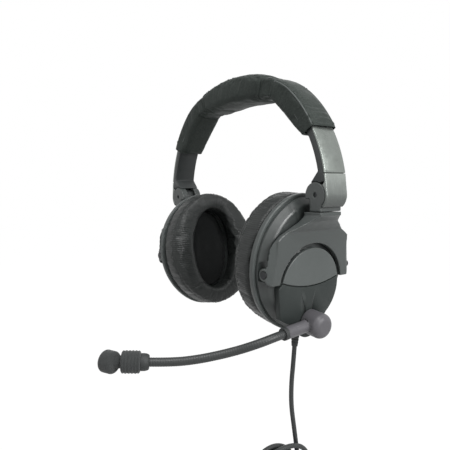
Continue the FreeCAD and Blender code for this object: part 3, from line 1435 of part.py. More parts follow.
def make_plug(name, start, steps, pin_radius, pin_length):
    """One lead below the splitter, with its plug: a grip with a neck, and the pin."""
    lead = moved(start, steps)
    round_tube(f"{name}_lead", lead, D.lead_radius)
    top = lead[-1]
    neck_end = top - FreeCAD.Vector(0, 0, D.plug_neck_length.value)
    grip_end = top - FreeCAD.Vector(0, 0, D.plug_grip_length.value)
    pin_end = grip_end - FreeCAD.Vector(0, 0, pin_length.value)
    grip = bar_between(neck_end, grip_end, D.plug_grip_radius)
    grip = grip.makeChamfer(D.plug_bevel.value, [grip.Edges[0], grip.Edges[2]])
    neck = bar_between(top, neck_end - FreeCAD.Vector(0, 0, 1), D.plug_neck_radius)
    pin = bar_between(grip_end, pin_end, pin_radius)
    keep_shape(f"{name}_plug", grip.fuse([neck, pin]).removeSplitter())


def make_terminal_board():
    """The small board in the left cup where the cable and the boom's wires meet."""
    body = new_body("terminal_board")
    back = POD_TOP - D.shell_wall - D.running_gap
    board = cup_outline(body, back - D.terminal_board_thickness)
    half = D.terminal_board_side / 2
    low = POD_CENTRE - D.pod_radius + D.shell_wall + D.terminal_board_inset
    high = low + half
    board.loop([(-half, low), (half, low), (half, high), (-half, high)])
    add_pad(body, board, D.terminal_board_thickness)
    place_in_cup(body)
    keep(body)


make_spring()
make_crown_pad()
make_side_pad()
make_housing()
make_rivets()
make_arm()
make_hinge_pin()
make_knuckle()
make_yoke()
make_swivel_clip()
make_pivot_screws()
make_cushion()
make_baffle()
pair(make_shell(), "cup_shell")
make_cap()
make_panels()
make_driver()
make_scrim()
make_cup_screws()
make_hub()
mic_start, mic_along = make_boom()
make_microphone(mic_start, mic_along)
relief_tip, relief_down = make_relief()
splitter_end = make_splitter(make_cable(relief_tip, relief_down))
spread = FreeCAD.Vector(0, D.lead_spread.value, 0)
make_plug("headphone", splitter_end + spread, HEADPHONE_STEPS, D.headphone_pin_radius,
          D.headphone_pin_length)
make_plug("microphone", splitter_end - spread, MICROPHONE_STEPS, D.microphone_pin_radius,
          D.microphone_pin_length)
make_terminal_board()
document.recompute()

for item in document.Objects:
    if "Invalid" in item.State or "Error" in item.State:
        raise ValueError(f"{item.Label} did not recompute: {item.State}")
for piece in pieces:
    if piece.Shape.isNull() or not piece.Shape.isValid():
        raise ValueError(f"{piece.Label} has no valid shape")

os.makedirs("parts", exist_ok=True)
for piece in pieces:
    piece.Shape.exportStep(f"parts/{piece.Label}.step")
print(f"{len(pieces)} pieces written")
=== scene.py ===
"""Looks of an aviation headset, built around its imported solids.

Every piece is made in metres in the solids' own frame: +Z up, +X to the wearer's left, -Y the way the
wearer faces.
"""

import json
import logging
import math
from contextlib import contextmanager
from dataclasses import dataclass, field
from enum import Enum
from typing import Callable, Iterator, Sequence

import bmesh
import bpy
import numpy as np
from mathutils import Matrix, Vector

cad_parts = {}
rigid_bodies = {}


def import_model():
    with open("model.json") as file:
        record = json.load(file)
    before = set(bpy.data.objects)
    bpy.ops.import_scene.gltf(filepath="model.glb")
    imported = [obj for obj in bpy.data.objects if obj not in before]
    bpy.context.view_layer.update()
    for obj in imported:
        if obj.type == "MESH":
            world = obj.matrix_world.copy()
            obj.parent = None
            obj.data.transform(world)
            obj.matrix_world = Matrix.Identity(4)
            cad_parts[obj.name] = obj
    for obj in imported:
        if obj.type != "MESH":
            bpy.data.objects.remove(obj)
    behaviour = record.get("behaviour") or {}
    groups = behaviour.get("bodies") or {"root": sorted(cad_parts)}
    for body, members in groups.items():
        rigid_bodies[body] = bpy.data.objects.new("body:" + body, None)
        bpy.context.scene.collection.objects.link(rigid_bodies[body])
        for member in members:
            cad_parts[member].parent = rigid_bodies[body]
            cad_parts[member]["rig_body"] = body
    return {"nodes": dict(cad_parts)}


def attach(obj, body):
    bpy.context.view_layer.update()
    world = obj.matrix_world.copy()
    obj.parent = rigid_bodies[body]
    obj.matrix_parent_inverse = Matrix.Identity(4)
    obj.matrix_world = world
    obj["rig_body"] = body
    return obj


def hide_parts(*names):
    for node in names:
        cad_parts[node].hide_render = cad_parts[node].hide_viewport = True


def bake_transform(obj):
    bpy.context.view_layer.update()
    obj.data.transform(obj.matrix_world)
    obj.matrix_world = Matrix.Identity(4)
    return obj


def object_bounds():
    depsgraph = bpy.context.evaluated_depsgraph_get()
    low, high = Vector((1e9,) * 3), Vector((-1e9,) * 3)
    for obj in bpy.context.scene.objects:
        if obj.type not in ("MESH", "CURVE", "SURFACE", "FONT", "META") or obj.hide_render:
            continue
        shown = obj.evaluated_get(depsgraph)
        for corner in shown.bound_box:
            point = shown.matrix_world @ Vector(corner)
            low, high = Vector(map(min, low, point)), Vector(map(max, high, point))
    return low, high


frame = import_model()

CAD_BOX = [list(corner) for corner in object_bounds()]
MM = 0.001
UP = np.array([0.0, 0.0, 1.0])
# Points of one piece that lie nearer than this are the same point
DOUBLED = 0.1e-6
# Steps that each cloth simulation runs
CLOTH_STEPS = 20
LOG = logging.getLogger("headset")


class Side(Enum):
    """Which side of the wearer's head a sub-assembly is on."""

    LEFT = 1
    RIGHT = -1

    @property
    def word(self) -> str:
        """The word that starts the names of this side's nodes."""
        return self.name.lower()


# Shader helpers


def linear(colour: str) -> tuple[float, float, float, float]:
    """Turns an sRGB hex colour to the linear values that a shader takes.

    Args:
        colour: six hex digits after a hash sign.

    Returns:
        Red, green, blue and alpha.
    """
    parts = [int(colour[place:place + 2], 16) / 255 for place in (1, 3, 5)]
    return (*(p / 12.92 if p <= 0.04045 else ((p + 0.055) / 1.055) ** 2.4 for p in parts), 1.0)


def add_node(tree: bpy.types.NodeTree, kind: str, settings: dict | None = None,
             **inputs: object) -> bpy.types.Node:
    """Adds one shader node with its settings, values and links.

    Args:
        tree: the material's or the world's node tree.
        kind: the node's type name after "ShaderNode".
        settings: attributes of the node itself.
        inputs: socket names with a value or an output socket to link. An underscore stands for a space,
            and a name such as in0 is the socket's number.

    Returns:
        The new node.
    """
    made = tree.nodes.new("ShaderNode" + kind)
    for name, value in (settings or {}).items():
        setattr(made, name, value)
    for name, value in inputs.items():
        socket = made.inputs[int(name[2:])] if name[:2] == "in" and name[2:].isdigit() \
            else made.inputs[name.replace("_", " ")]
        if isinstance(value, bpy.types.NodeSocket):
            tree.links.new(value, socket)
        else:
            socket.default_value = value
    return made


def ramp(tree: bpy.types.NodeTree, source: bpy.types.NodeSocket,
         stops: Sequence[tuple[float, tuple[float, float, float, float]]]) -> bpy.types.NodeSocket:
    """Maps a value to a colour.

    Args:
        tree: the node tree.
        source: the value's socket.
        stops: places from 0 to 1, each with its linear colour.

    Returns:
        The colour's socket.
    """
    made = add_node(tree, "ValToRGB", Fac=source)
    elements = made.color_ramp.elements
    while len(elements) < len(stops):
        elements.new(0.5)
    for element, (place, colour) in zip(elements, stops):
        element.position, element.color = place, colour
    return made.outputs["Color"]


def mixed(tree: bpy.types.NodeTree, share: object, first: object, second: object) -> bpy.types.NodeSocket:
    """Mixes two colours by a share from 0, the first, to 1, the second.

    Args:
        tree: the node tree.
        share: a number or a socket.
        first: a colour or a socket.
        second: a colour or a socket.

    Returns:
        The mixed colour's socket.
    """
    made = add_node(tree, "Mix", {"data_type": "RGBA"}, in0=share, in6=first, in7=second)
    return made.outputs[2]


def direct_rays(tree: bpy.types.NodeTree) -> bpy.types.NodeSocket:
    """1 for a ray from the camera, off a shiny surface or through a clear one, and 0 for any other.

    Args:
        tree: the node tree.

    Returns:
        The value's socket.
    """
    rays = add_node(tree, "LightPath")
    seen = rays.outputs["Is Camera Ray"]
    for name in ("Is Glossy Ray", "Is Transmission Ray"):
        seen = add_node(tree, "Math", {"operation": "MAXIMUM"}, in0=seen, in1=rays.outputs[name]).outputs[0]
    return seen


# How far handling moves the roughness to either side of its middle, and how fine its traces are
RUB_SPREAD = 0.07
RUB_SCALE = 180.0
# How fine the slow clouds of the colour are, and how much clouds and grain darken it
CLOUD_SCALE = 40.0
CLOUD_SHARE = 0.35
GRAIN_SHARE = 0.55


@dataclass(frozen=True)
class Finish:
    """One finish: its colour, how it was made and what shows of that.

    Attributes:
        name: the material's name.
        colour: the main colour.
        shade: the darker colour that the pattern mixes in.
        roughness: the middle of the roughness.
        grain_mm: the size of the surface grain that shows.
        relief_mm: how deep the grain is.
        metallic: 1 for bare metal.
        ior: the refractive index; a metal keeps the default.
        gloss: the specular level; below 0.5 for a surface dulled by its grain.
        coat: the share of a clear top layer.
        sheen: the share of a soft fibre sheen.
        wear: how much lighter the edges are.
    """

    name: str
    colour: str
    shade: str
    roughness: float
    grain_mm: float
    relief_mm: float
    metallic: float = 0.0
    ior: float = 1.5
    gloss: float = 0.3
    coat: float = 0.0
    sheen: float = 0.0
    wear: float = 0.0

    def pattern(self, tree: bpy.types.NodeTree, where: bpy.types.NodeSocket) -> bpy.types.NodeSocket:
        """The height of the surface grain, from 0 to 1.

        Args:
            tree: the material's node tree.
            where: the pattern's coordinates.

        Returns:
            The height's socket.
        """
        grain = add_node(tree, "TexNoise", Vector=where, Scale=1 / (self.grain_mm * MM), Detail=3.0,
                         Roughness=0.6)
        return grain.outputs["Fac"]

    def coordinates(self, tree: bpy.types.NodeTree) -> bpy.types.NodeSocket:
        """Coordinates in metres that stay with the piece."""
        return add_node(tree, "TexCoord").outputs["Object"]

    def tint(self, tree: bpy.types.NodeTree, height: bpy.types.NodeSocket) -> bpy.types.NodeSocket:
        """The surface colour: grain, slow cloudy variation and worn edges.

        Args:
            tree: the material's node tree.
            height: the grain's height.

        Returns:
            The colour's socket.
        """
        cloud = add_node(tree, "TexNoise", Vector=add_node(tree, "TexCoord").outputs["Object"],
                         Scale=CLOUD_SCALE, Detail=2.0).outputs["Fac"]
        share = add_node(tree, "Math", {"operation": "MULTIPLY_ADD"}, in0=height, in1=GRAIN_SHARE,
                         in2=-0.02)
        share = add_node(tree, "Math", {"operation": "MULTIPLY_ADD"}, in0=cloud, in1=CLOUD_SHARE,
                         in2=share.outputs[0])
        base = mixed(tree, share.outputs[0], linear(self.colour), linear(self.shade))
        if not self.wear:
            return base
        edge = add_node(tree, "NewGeometry").outputs["Pointiness"]
        edge = add_node(tree, "MapRange", Value=edge, From_Min=0.52, From_Max=0.62, To_Min=0.0,
                        To_Max=self.wear).outputs["Result"]
        lifted = tuple(min(1.0, 1.9 * c + 0.02) for c in linear(self.colour)[:3]) + (1.0,)
        return mixed(tree, edge, base, lifted)

    def material(self) -> bpy.types.Material:
        """The material, made once and shared.

        Returns:
            The material of this finish.
        """
        known = bpy.data.materials.get(self.name)
        if known:
            return known
        made = bpy.data.materials.new(self.name)
        made.use_nodes = True
        tree = made.node_tree
        shader = tree.nodes["Principled BSDF"]
        where = self.coordinates(tree)
        height = self.pattern(tree, where)
        tree.links.new(self.tint(tree, height), shader.inputs["Base Color"])
        rub = add_node(tree, "TexNoise", Vector=where, Scale=RUB_SCALE, Detail=3.0).outputs["Fac"]
        smoother, rougher = self.roughness - RUB_SPREAD, self.roughness + RUB_SPREAD
        rough = add_node(tree, "MapRange", Value=rub, From_Min=0.3, From_Max=0.7,
                         To_Min=max(0.03, smoother), To_Max=min(1.0, rougher))
        tree.links.new(rough.outputs["Result"], shader.inputs["Roughness"])
        bump = add_node(tree, "Bump", Height=height, Distance=self.relief_mm * MM, Strength=1.0)
        tree.links.new(bump.outputs["Normal"], shader.inputs["Normal"])
        for socket, value in (("Metallic", self.metallic), ("Coat Weight", self.coat),
                              ("Coat Roughness", 0.25), ("Sheen Weight", self.sheen),
                              ("Sheen Roughness", 0.5)):
            shader.inputs[socket].default_value = value
        if not self.metallic:
            shader.inputs["IOR"].default_value = self.ior
            shader.inputs["Specular IOR Level"].default_value = self.gloss
        made.diffuse_color = linear(self.colour)
        return made


@dataclass(frozen=True)
class PebbledVinyl(Finish):
    """Vinyl-coated cloth with an embossed pebble grain: rounded cells between fine valleys."""

    def pattern(self, tree: bpy.types.NodeTree, where: bpy.types.NodeSocket) -> bpy.types.NodeSocket:
        """Rounded cells: the distance to the nearest cell edge, softened by noise."""
        cells = add_node(tree, "TexVoronoi", {"feature": "SMOOTH_F1"}, Vector=where,
                         Scale=1 / (self.grain_mm * MM), Smoothness=0.6)
        return add_node(tree, "Math", {"operation": "SUBTRACT"}, in0=1.0,
                        in1=cells.outputs["Distance"]).outputs[0]


@dataclass(frozen=True)
class CreasedLeather(Finish):
    """Smooth synthetic leather stretched over foam, with fine pleats across the ring.

    The UV map's U runs along the seam and its V round the section, both in metres, so the pleats, which the
    seam draws in, are short along the seam and long across it.
    """

    def coordinates(self, tree: bpy.types.NodeTree) -> bpy.types.NodeSocket:
        """The piece's own UV map, stretched so that a crease is about five times longer than wide."""
        uv = add_node(tree, "TexCoord").outputs["UV"]
        return add_node(tree, "Mapping", Vector=uv, Scale=(1.0, 0.2, 1.0)).outputs["Vector"]

    def pattern(self, tree: bpy.types.NodeTree, where: bpy.types.NodeSocket) -> bpy.types.NodeSocket:
        """Pleats: a sine wave along the seam whose phase a slow noise bends, under a finer crease noise."""
        bend = add_node(tree, "TexNoise", Vector=where, Scale=1 / (5 * self.grain_mm * MM), Detail=2.0)
        bend = add_node(tree, "Math", {"operation": "MULTIPLY"}, in0=bend.outputs["Fac"], in1=9.0)
        along = add_node(tree, "SeparateXYZ", Vector=where).outputs["X"]
        phase = add_node(tree, "Math", {"operation": "MULTIPLY_ADD"}, in0=along,
                         in1=2 * math.pi / (self.grain_mm * MM), in2=bend.outputs[0])
        wave = add_node(tree, "Math", {"operation": "SINE"}, in0=phase.outputs[0])
        wave = add_node(tree, "MapRange", Value=wave.outputs[0], From_Min=-1.0, To_Max=0.6)
        fine = add_node(tree, "TexNoise", Vector=where, Scale=1 / (self.grain_mm * MM), Detail=2.0)
        return add_node(tree, "Math", {"operation": "MULTIPLY_ADD"}, in0=fine.outputs["Fac"], in1=0.4,
                        in2=wave.outputs["Result"]).outputs[0]


@dataclass(frozen=True)
class BrushedMetal(Finish):
    """Die-cast or rolled metal with a fine linish along Z, under a clear anodised layer."""

    def pattern(self, tree: bpy.types.NodeTree, where: bpy.types.NodeSocket) -> bpy.types.NodeSocket:
        """Noise drawn out along Z."""
        drawn = add_node(tree, "Mapping", Vector=where, Scale=(1.0, 1.0, 0.04))
        lines = add_node(tree, "TexNoise", Vector=drawn.outputs["Vector"],
                         Scale=1 / (self.grain_mm * MM), Detail=2.0)
        return lines.outputs["Fac"]


@dataclass(frozen=True)
class DulledMetal(BrushedMetal):
    """Brushed metal with painted shade: its colour darkens towards its lower end, where the light falls off.

    Attributes:
        bright_z: the height in metres down to which it is bright.
        dull_z: the height in metres below which the painted shade is full.
    """

    bright_z: float = -0.062
    dull_z: float = -0.088

    def tint(self, tree: bpy.types.NodeTree, height: bpy.types.NodeSocket) -> bpy.types.NodeSocket:
        """Colour at the top, painted shade at the foot, with the brushed lines over both."""
        upright = add_node(tree, "SeparateXYZ", Vector=self.coordinates(tree)).outputs["Z"]
        # Painted shade: the colour falls from bright to dark between the two heights
        fall = add_node(tree, "MapRange", Value=upright, From_Min=self.bright_z, From_Max=self.dull_z)
        share = add_node(tree, "Math", {"operation": "MULTIPLY_ADD", "use_clamp": True}, in0=height,
                         in1=0.2, in2=fall.outputs["Result"])
        return mixed(tree, share.outputs[0], linear(self.colour), linear(self.shade))


@dataclass(frozen=True)
class PlainWeave(Finish):
    """Knitted or woven cloth: threads cross at a right angle, over and under."""

    def pattern(self, tree: bpy.types.NodeTree, where: bpy.types.NodeSocket) -> bpy.types.NodeSocket:
        """The product of two sine waves at the thread spacing."""
        turns = 2 * math.pi / (self.grain_mm * MM)
        axes = add_node(tree, "SeparateXYZ", Vector=where)
        waves = [add_node(tree, "Math", {"operation": "SINE"}, in0=add_node(
            tree, "Math", {"operation": "MULTIPLY"}, in0=axes.outputs[name], in1=turns).outputs[0])
            for name in ("Y", "Z")]
        crossed = add_node(tree, "Math", {"operation": "MULTIPLY"}, in0=waves[0].outputs[0],
                           in1=waves[1].outputs[0])
        return add_node(tree, "MapRange", Value=crossed.outputs[0], From_Min=-1.0,
                        From_Max=1.0).outputs["Result"]


# Finishes. Grain that is finer than about 0.8 mm is drawn at 0.8 mm or more, so that it shows.

# Vinyl-coated cloth with a pressed pebble grain: soft, slightly greasy highlights on dark grey
PAD_VINYL = PebbledVinyl("padded_vinyl", "#373c39", "#242726", 0.46, 1.4, 0.10, ior=1.46, gloss=0.06)
# Protein leather on soft foam: near black, smooth, with fine creases across the ring
CUSHION_LEATHER = CreasedLeather("protein_leather", "#232625", "#131515", 0.42, 1.2, 0.20, ior=1.48)
# Spark-eroded ABS: matte charcoal with a fine even grain
SPARK_ABS = Finish("spark_eroded_abs", "#424645", "#343837", 0.44, 0.9, 0.035, ior=1.53, wear=0.2)
# The shells' ABS from a polished mould, glossy enough for a bright line of light along the upper edge; its
# darker colour is partly painted shade, for the shadow beside the yoke
SHELL_ABS = Finish("satin_shell_abs", "#2a2e2d", "#212524", 0.38, 0.9, 0.02, ior=1.53, gloss=0.45, wear=0.2)
# The pod caps' ABS: a paler charcoal, finely blasted
CAP_ABS = Finish("blasted_cap_abs", "#474b4a", "#3c403f", 0.46, 0.9, 0.03, ior=1.53, wear=0.2)
# The lower panels' ABS: a darker charcoal than the caps'
PANEL_ABS = Finish("panel_abs", "#2a2e2d", "#222625", 0.46, 0.9, 0.03, ior=1.53, gloss=0.15, wear=0.2)
# Glass-filled nylon: the same charcoal, harder and smoother, with broad soft highlights
FILLED_NYLON = Finish("glass_filled_nylon", "#3a3e3d", "#2f3332", 0.38, 1.1, 0.03, ior=1.53, gloss=0.4,
                      wear=0.25)
# Mid-grey ABS of the boom's knob, which hands keep smooth
KNOB_ABS = Finish("mid_grey_abs", "#504f52", "#403f42", 0.42, 0.9, 0.03, ior=1.53, gloss=0.25, wear=0.25)
# Satin anodised cover strip: pale greenish grey with a soft vertical sheen
ANODISED_COVER = BrushedMetal("anodised_aluminium", "#7b807c", "#696e6a", 0.34, 0.8, 0.02, metallic=0.75)
# The same strip over the hinge, with painted shade darkening it towards its foot
FOOT_SHADED_COVER = DulledMetal("dulled_aluminium", "#8b908c", "#3e4140", 0.36, 0.8, 0.02, metallic=0.75)
# Die-cast arm under black stoved enamel
ENAMELLED_ARM = Finish("stoved_enamel", "#2b2e2e", "#212424", 0.42, 0.9, 0.02, ior=1.5, wear=0.3)
# Moulded synthetic rubber: dull and even
MOULDED_RUBBER = Finish("moulded_rubber", "#2b2d2d", "#212323", 0.62, 0.8, 0.03, ior=1.52)
# Extruded cord jacket: slightly waxy black
CORD_JACKET = Finish("extruded_cord_jacket", "#2d2f2f", "#222424", 0.52, 0.8, 0.02, ior=1.5)
# Gooseneck jacket: heat-shrunk polyolefin, mid grey where light falls on it
SHRUNK_SLEEVE = Finish("shrunk_sleeve", "#2f3131", "#252727", 0.42, 0.9, 0.03, ior=1.5)
# Nickel plate on brass: bright with faint turning marks
NICKEL_PLATE = BrushedMetal("nickel_plate", "#c9c7c1", "#b4b2ac", 0.20, 0.8, 0.008, metallic=1.0)
# Oil-blackened steel of screws, pins and the spring
BLACKENED_STEEL = BrushedMetal("blackened_steel", "#3c3d3e", "#2c2d2e", 0.42, 0.8, 0.01, metallic=1.0)
# Open knitted ear cloth over thin foam
EAR_CLOTH = PlainWeave("knitted_ear_cloth", "#191b1b", "#0b0c0c", 0.95, 1.2, 0.25, ior=1.45, gloss=0.1,
                       sheen=0.1)
# Stamped speaker frame, zinc plated
ZINC_PLATE = BrushedMetal("zinc_plated_frame", "#8f9193", "#7b7d7f", 0.42, 0.8, 0.01, metallic=1.0)
# Solder resist on glass-fibre board
SOLDER_RESIST = Finish("solder_resist", "#1f5a37", "#17452a", 0.35, 0.8, 0.01, ior=1.55, gloss=0.5,
                       coat=0.3)
# Waxed polyester sewing thread
SEWING_THREAD = Finish("polyester_thread", "#3a3f3d", "#282c2b", 0.6, 0.8, 0.02, ior=1.5, sheen=0.1)
# Open-cell foam of the microphone muff
MUFF_FOAM = Finish("open_cell_foam", "#343636", "#202222", 0.85, 0.9, 0.22, ior=1.4, sheen=0.15)


# Mesh helpers


def linked(name: str, data: bpy.types.ID) -> bpy.types.Object:
    """A new object with the given data, in the scene."""
    made = bpy.data.objects.new(name, data)
    bpy.context.scene.collection.objects.link(made)
    return made


@contextmanager
def edited(mesh: bpy.types.Mesh) -> Iterator[bmesh.types.BMesh]:
    """Opens a mesh for editing, then turns its faces outwards and writes it back.

    Args:
        mesh: the mesh.

    Yields:
        The mesh as it is edited.
    """
    work = bmesh.new()
    work.from_mesh(mesh)
    yield work
    bmesh.ops.recalc_face_normals(work, faces=work.faces)
    work.to_mesh(mesh)
    work.free()
    mesh.update()


def vertex_rows(mesh: bpy.types.Mesh, what: str = "co") -> np.ndarray:
    """The position of each point of a mesh, or another of its vectors, one row each."""
    flat = np.zeros(len(mesh.vertices) * 3)
    mesh.vertices.foreach_get(what, flat)
    return flat.reshape(-1, 3)


def way_along(line: np.ndarray) -> np.ndarray:
    """The way along a line to each of its points, from 0 at the first."""
    return np.concatenate([[0], np.cumsum(np.linalg.norm(np.diff(line, axis=0), axis=1))])


def points_at(places: np.ndarray, run: np.ndarray, line: np.ndarray) -> np.ndarray:
    """The points that lie at given ways along a line.

    Args:
        places: the ways.
        run: the way to each of the line's points.
        line: the line's points.

    Returns:
        One row for each place.
    """
    return np.stack([np.interp(places, run, line[:, axis]) for axis in range(3)], axis=1)


def piece_from(name: str, points: np.ndarray, faces: np.ndarray, finish: Finish, body: str,
               uv: np.ndarray | None = None) -> bpy.types.Object:
    """Makes one piece of the headset from arrays.

    Args:
        name: the piece's name.
        points: positions in metres, one row each.
        faces: corner numbers, one row of four or three each.
        finish: its finish.
        body: the body that it rides on, or "" for a piece that rides on no body.
        uv: a UV position in metres for each point, or for each corner of each face.

    Returns:
        The piece.
    """
    mesh = bpy.data.meshes.new(name)
    mesh.from_pydata(points.tolist(), [], faces.tolist())
    mesh.polygons.foreach_set("use_smooth", np.ones(len(mesh.polygons), bool))
    if uv is not None:
        layer = mesh.uv_layers.new(name="UVMap")
        placed = uv if len(uv) == len(mesh.loops) else uv[faces.ravel()]
        layer.data.foreach_set("uv", placed.astype(np.float32).ravel())
    mesh.materials.append(finish.material())
    mesh.update()
    piece = linked(name, mesh)
    if body:
        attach(piece, body)
    LOG.info("%s: %d points", name, len(points))
    return piece


def grid_faces(rows: int, columns: int, wrap_rows: bool = False) -> np.ndarray:
    """Quads between the points of a grid of closed rows that is stored row by row.

    Args:
        rows: the number of rows.
        columns: the number of points in a row.
        wrap_rows: whether the last row joins the first.

    Returns:
        Corner numbers, four to a row.
    """
    row = np.arange(rows if wrap_rows else rows - 1)[:, None]
    column = np.arange(columns)[None, :]
    next_row, next_column = (row + 1) % rows, (column + 1) % columns
    quads = np.stack([row * columns + column, row * columns + next_column,
                      next_row * columns + next_column, next_row * columns + column], axis=-1)
    return quads.reshape(-1, 4)


def mend_normals(piece: bpy.types.Object, merge: float) -> None:
    """Merges doubled points and turns every face outwards.

    Args:
        piece: the piece.
        merge: how near two points have to be to become one, in metres.
    """
    with edited(piece.data) as work:
        bmesh.ops.remove_doubles(work, verts=work.verts, dist=merge)


def soft_power(value: np.ndarray, power: float) -> np.ndarray:
    """The signed power of a cosine or sine, which squares off a circle as the power falls below 1."""
    return np.sign(value) * np.abs(value) ** power


def sweep_frames(line: np.ndarray, across: np.ndarray) -> tuple[np.ndarray, np.ndarray]:
    """Two directions square to a line at each of its points, turned as little as can be.

    Args:
        line: the points, one row each.
        across: a direction that the first of the two starts near.

    Returns:
        The two unit directions at each point.
    """
    along = np.gradient(line, axis=0)
    along /= np.linalg.norm(along, axis=1, keepdims=True)
    first = np.empty_like(line)
    current = across
    for index, direction in enumerate(along):
        current = current - direction * (current @ direction)
        current = current / np.linalg.norm(current)
        first[index] = current
    return first, np.cross(along, first)


def tube(name: str, line: np.ndarray, radius: np.ndarray, finish: Finish, body: str,
         sides: int) -> bpy.types.Object:
    """A round solid along a line: a circle of the given radius at each point, closed at both ends.

    Args:
        name: the piece's name.
        line: the middle line, in metres, which starts off level.
        radius: the radius at each point.
        finish: its finish.
        body: the body that it rides on, or "" for a piece that rides on no body.
        sides: points round the circle.

    Returns:
        The piece.
    """
    first, second = sweep_frames(line, UP)
    angle = np.linspace(0, 2 * np.pi, sides, endpoint=False)
    ring = first[:, None] * np.cos(angle)[None, :, None] + second[:, None] * np.sin(angle)[None, :, None]
    points = line[:, None] + ring * radius[:, None, None]
    uv = np.stack(np.broadcast_arrays(way_along(line)[:, None], (angle * radius.max())[None, :]), axis=-1)
    piece = piece_from(name, points.reshape(-1, 3), grid_faces(len(line), sides), finish, body,
                       uv.reshape(-1, 2))
    close_ends(piece)
    return piece


def close_ends(piece: bpy.types.Object) -> None:
    """Fills open edge loops with triangles and turns the faces outwards."""
    with edited(piece.data) as work:
        bmesh.ops.remove_doubles(work, verts=work.verts, dist=DOUBLED)
        open_edges = [edge for edge in work.edges if edge.is_boundary]
        if open_edges:
            made = bmesh.ops.holes_fill(work, edges=open_edges, sides=0)
            bmesh.ops.triangulate(work, faces=made["faces"])


def turned(name: str, start: np.ndarray, along: np.ndarray, profile: Sequence[tuple[float, float]],
           finish: Finish, body: str, sides: int = 48,
           flutes: Callable[[np.ndarray, np.ndarray], np.ndarray] | None = None) -> bpy.types.Object:
    """A turned piece: a profile of (distance, radius) in millimetres, spun about an axis.

    Args:
        name: the piece's name.
        start: the axis's first point, in metres.
        along: the axis's direction.
        profile: distances along the axis, each with its radius.
        finish: its finish.
        body: the body that it rides on.
        sides: points round the axis.
        flutes: gives the extra radius in millimetres at each distance and angle.

    Returns:
        The piece.
    """
    along = np.asarray(along, float) / np.linalg.norm(along)
    helper = UP if abs(along[2]) < 0.9 else np.array([0.0, 1.0, 0.0])
    first = np.cross(along, helper)
    first /= np.linalg.norm(first)
    second = np.cross(along, first)
    place, radius = np.array(profile, float).T
    angle = np.linspace(0, 2 * np.pi, sides, endpoint=False)
    grid_place, grid_angle = np.meshgrid(place, angle, indexing="ij")
    grid_radius = np.repeat(radius[:, None], sides, axis=1)
    if flutes is not None:
        grid_radius = np.maximum(0, grid_radius + flutes(grid_place, grid_angle) * (grid_radius > 0.2))
    ring = first * np.cos(grid_angle)[..., None] + second * np.sin(grid_angle)[..., None]
    points = np.asarray(start) + MM * (along * grid_place[..., None] + ring * grid_radius[..., None])
    run = way_along(np.array(profile, float)) * MM
    uv = np.stack(np.broadcast_arrays(run[:, None], angle[None, :] * radius.max() * MM), axis=-1)
    piece = piece_from(name, points.reshape(-1, 3), grid_faces(len(place), sides), finish, body,
                       uv.reshape(-1, 2))
    mend_normals(piece, DOUBLED)
    return piece


def rounded_profile(corners: Sequence[tuple[float, float, float]],
                    steps: int = 5) -> list[tuple[float, float]]:
    """A profile whose corners are rounded by quarter-like arcs.

    Each corner is (distance, radius, rounding) in millimetres; the rounding runs from a point that far
    before the corner to one that far after it, along a quadratic curve with the corner as its control. It
    takes just under half of the way to the next corner at most.

    Args:
        corners: the profile's corners.
        steps: points on each rounding.

    Returns:
        The points of the profile.
    """
    points = [np.array(corner[:2], float) for corner in corners]
    result: list[tuple[float, float]] = []
    for index, (_, _, rounding) in enumerate(corners):
        here = points[index]
        if rounding <= 0 or index in (0, len(corners) - 1):
            result.append(tuple(here))
            continue
        first, last = (here + way / np.linalg.norm(way) * min(rounding, np.linalg.norm(way) * 0.48)
                       for way in (points[index - 1] - here, points[index + 1] - here))
        for share in np.linspace(0, 1, steps):
            result.append(tuple((1 - share) ** 2 * first + 2 * share * (1 - share) * here
                                + share ** 2 * last))
    return result


def replica(node: str, name: str, finish: Finish) -> bpy.types.Object:
    """A copy of a rigid node with its flat faces joined, dressed and riding in the node's place.

    Args:
        node: the node.
        name: the piece's name.
        finish: its finish.

    Returns:
        The piece.
    """
    source = frame["nodes"][node]
    work = bmesh.new()
    work.from_mesh(source.data)
    bmesh.ops.remove_doubles(work, verts=work.verts, dist=2e-6)
    bmesh.ops.dissolve_limit(work, angle_limit=math.radians(0.2), verts=work.verts, edges=work.edges)
    bmesh.ops.triangulate(work, faces=[face for face in work.faces if len(face.verts) > 4])
    mesh = bpy.data.meshes.new(name)
    work.to_mesh(mesh)
    work.free()
    mesh.materials.clear()
    mesh.materials.append(finish.material())
    mesh.polygons.foreach_set("use_smooth", np.ones(len(mesh.polygons), bool))
    piece = linked(name, mesh)
    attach(piece, source["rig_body"])
    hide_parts(node)
    return piece


def softened(node: str, name: str, finish: Finish, bevel_mm: float,
             sharp: float = 28.0) -> bpy.types.Object:
    """A copy of a rigid node with rounded edges, as its mould gives them.

    Args:
        node: the node.
        name: the piece's name.
        finish: its finish.
        bevel_mm: the width of the rounding; 0 for a solid that already has its roundings.
        sharp: the angle between faces, in degrees, from which an edge is rounded.

    Returns:
        The piece.
    """
    piece = replica(node, name, finish)
    if bevel_mm:
        rounding = piece.modifiers.new("mould_rounding", "BEVEL")
        rounding.width = bevel_mm * MM
        rounding.segments = 3
        rounding.limit_method = "ANGLE"
        rounding.angle_limit = math.radians(sharp)
        rounding.use_clamp_overlap = False
        rounding.harden_normals = True
    else:
        piece.data.set_sharp_from_angle(angle=math.radians(sharp))
        piece.modifiers.new("flat_faces", "WEIGHTED_NORMAL").keep_sharp = True
    return piece


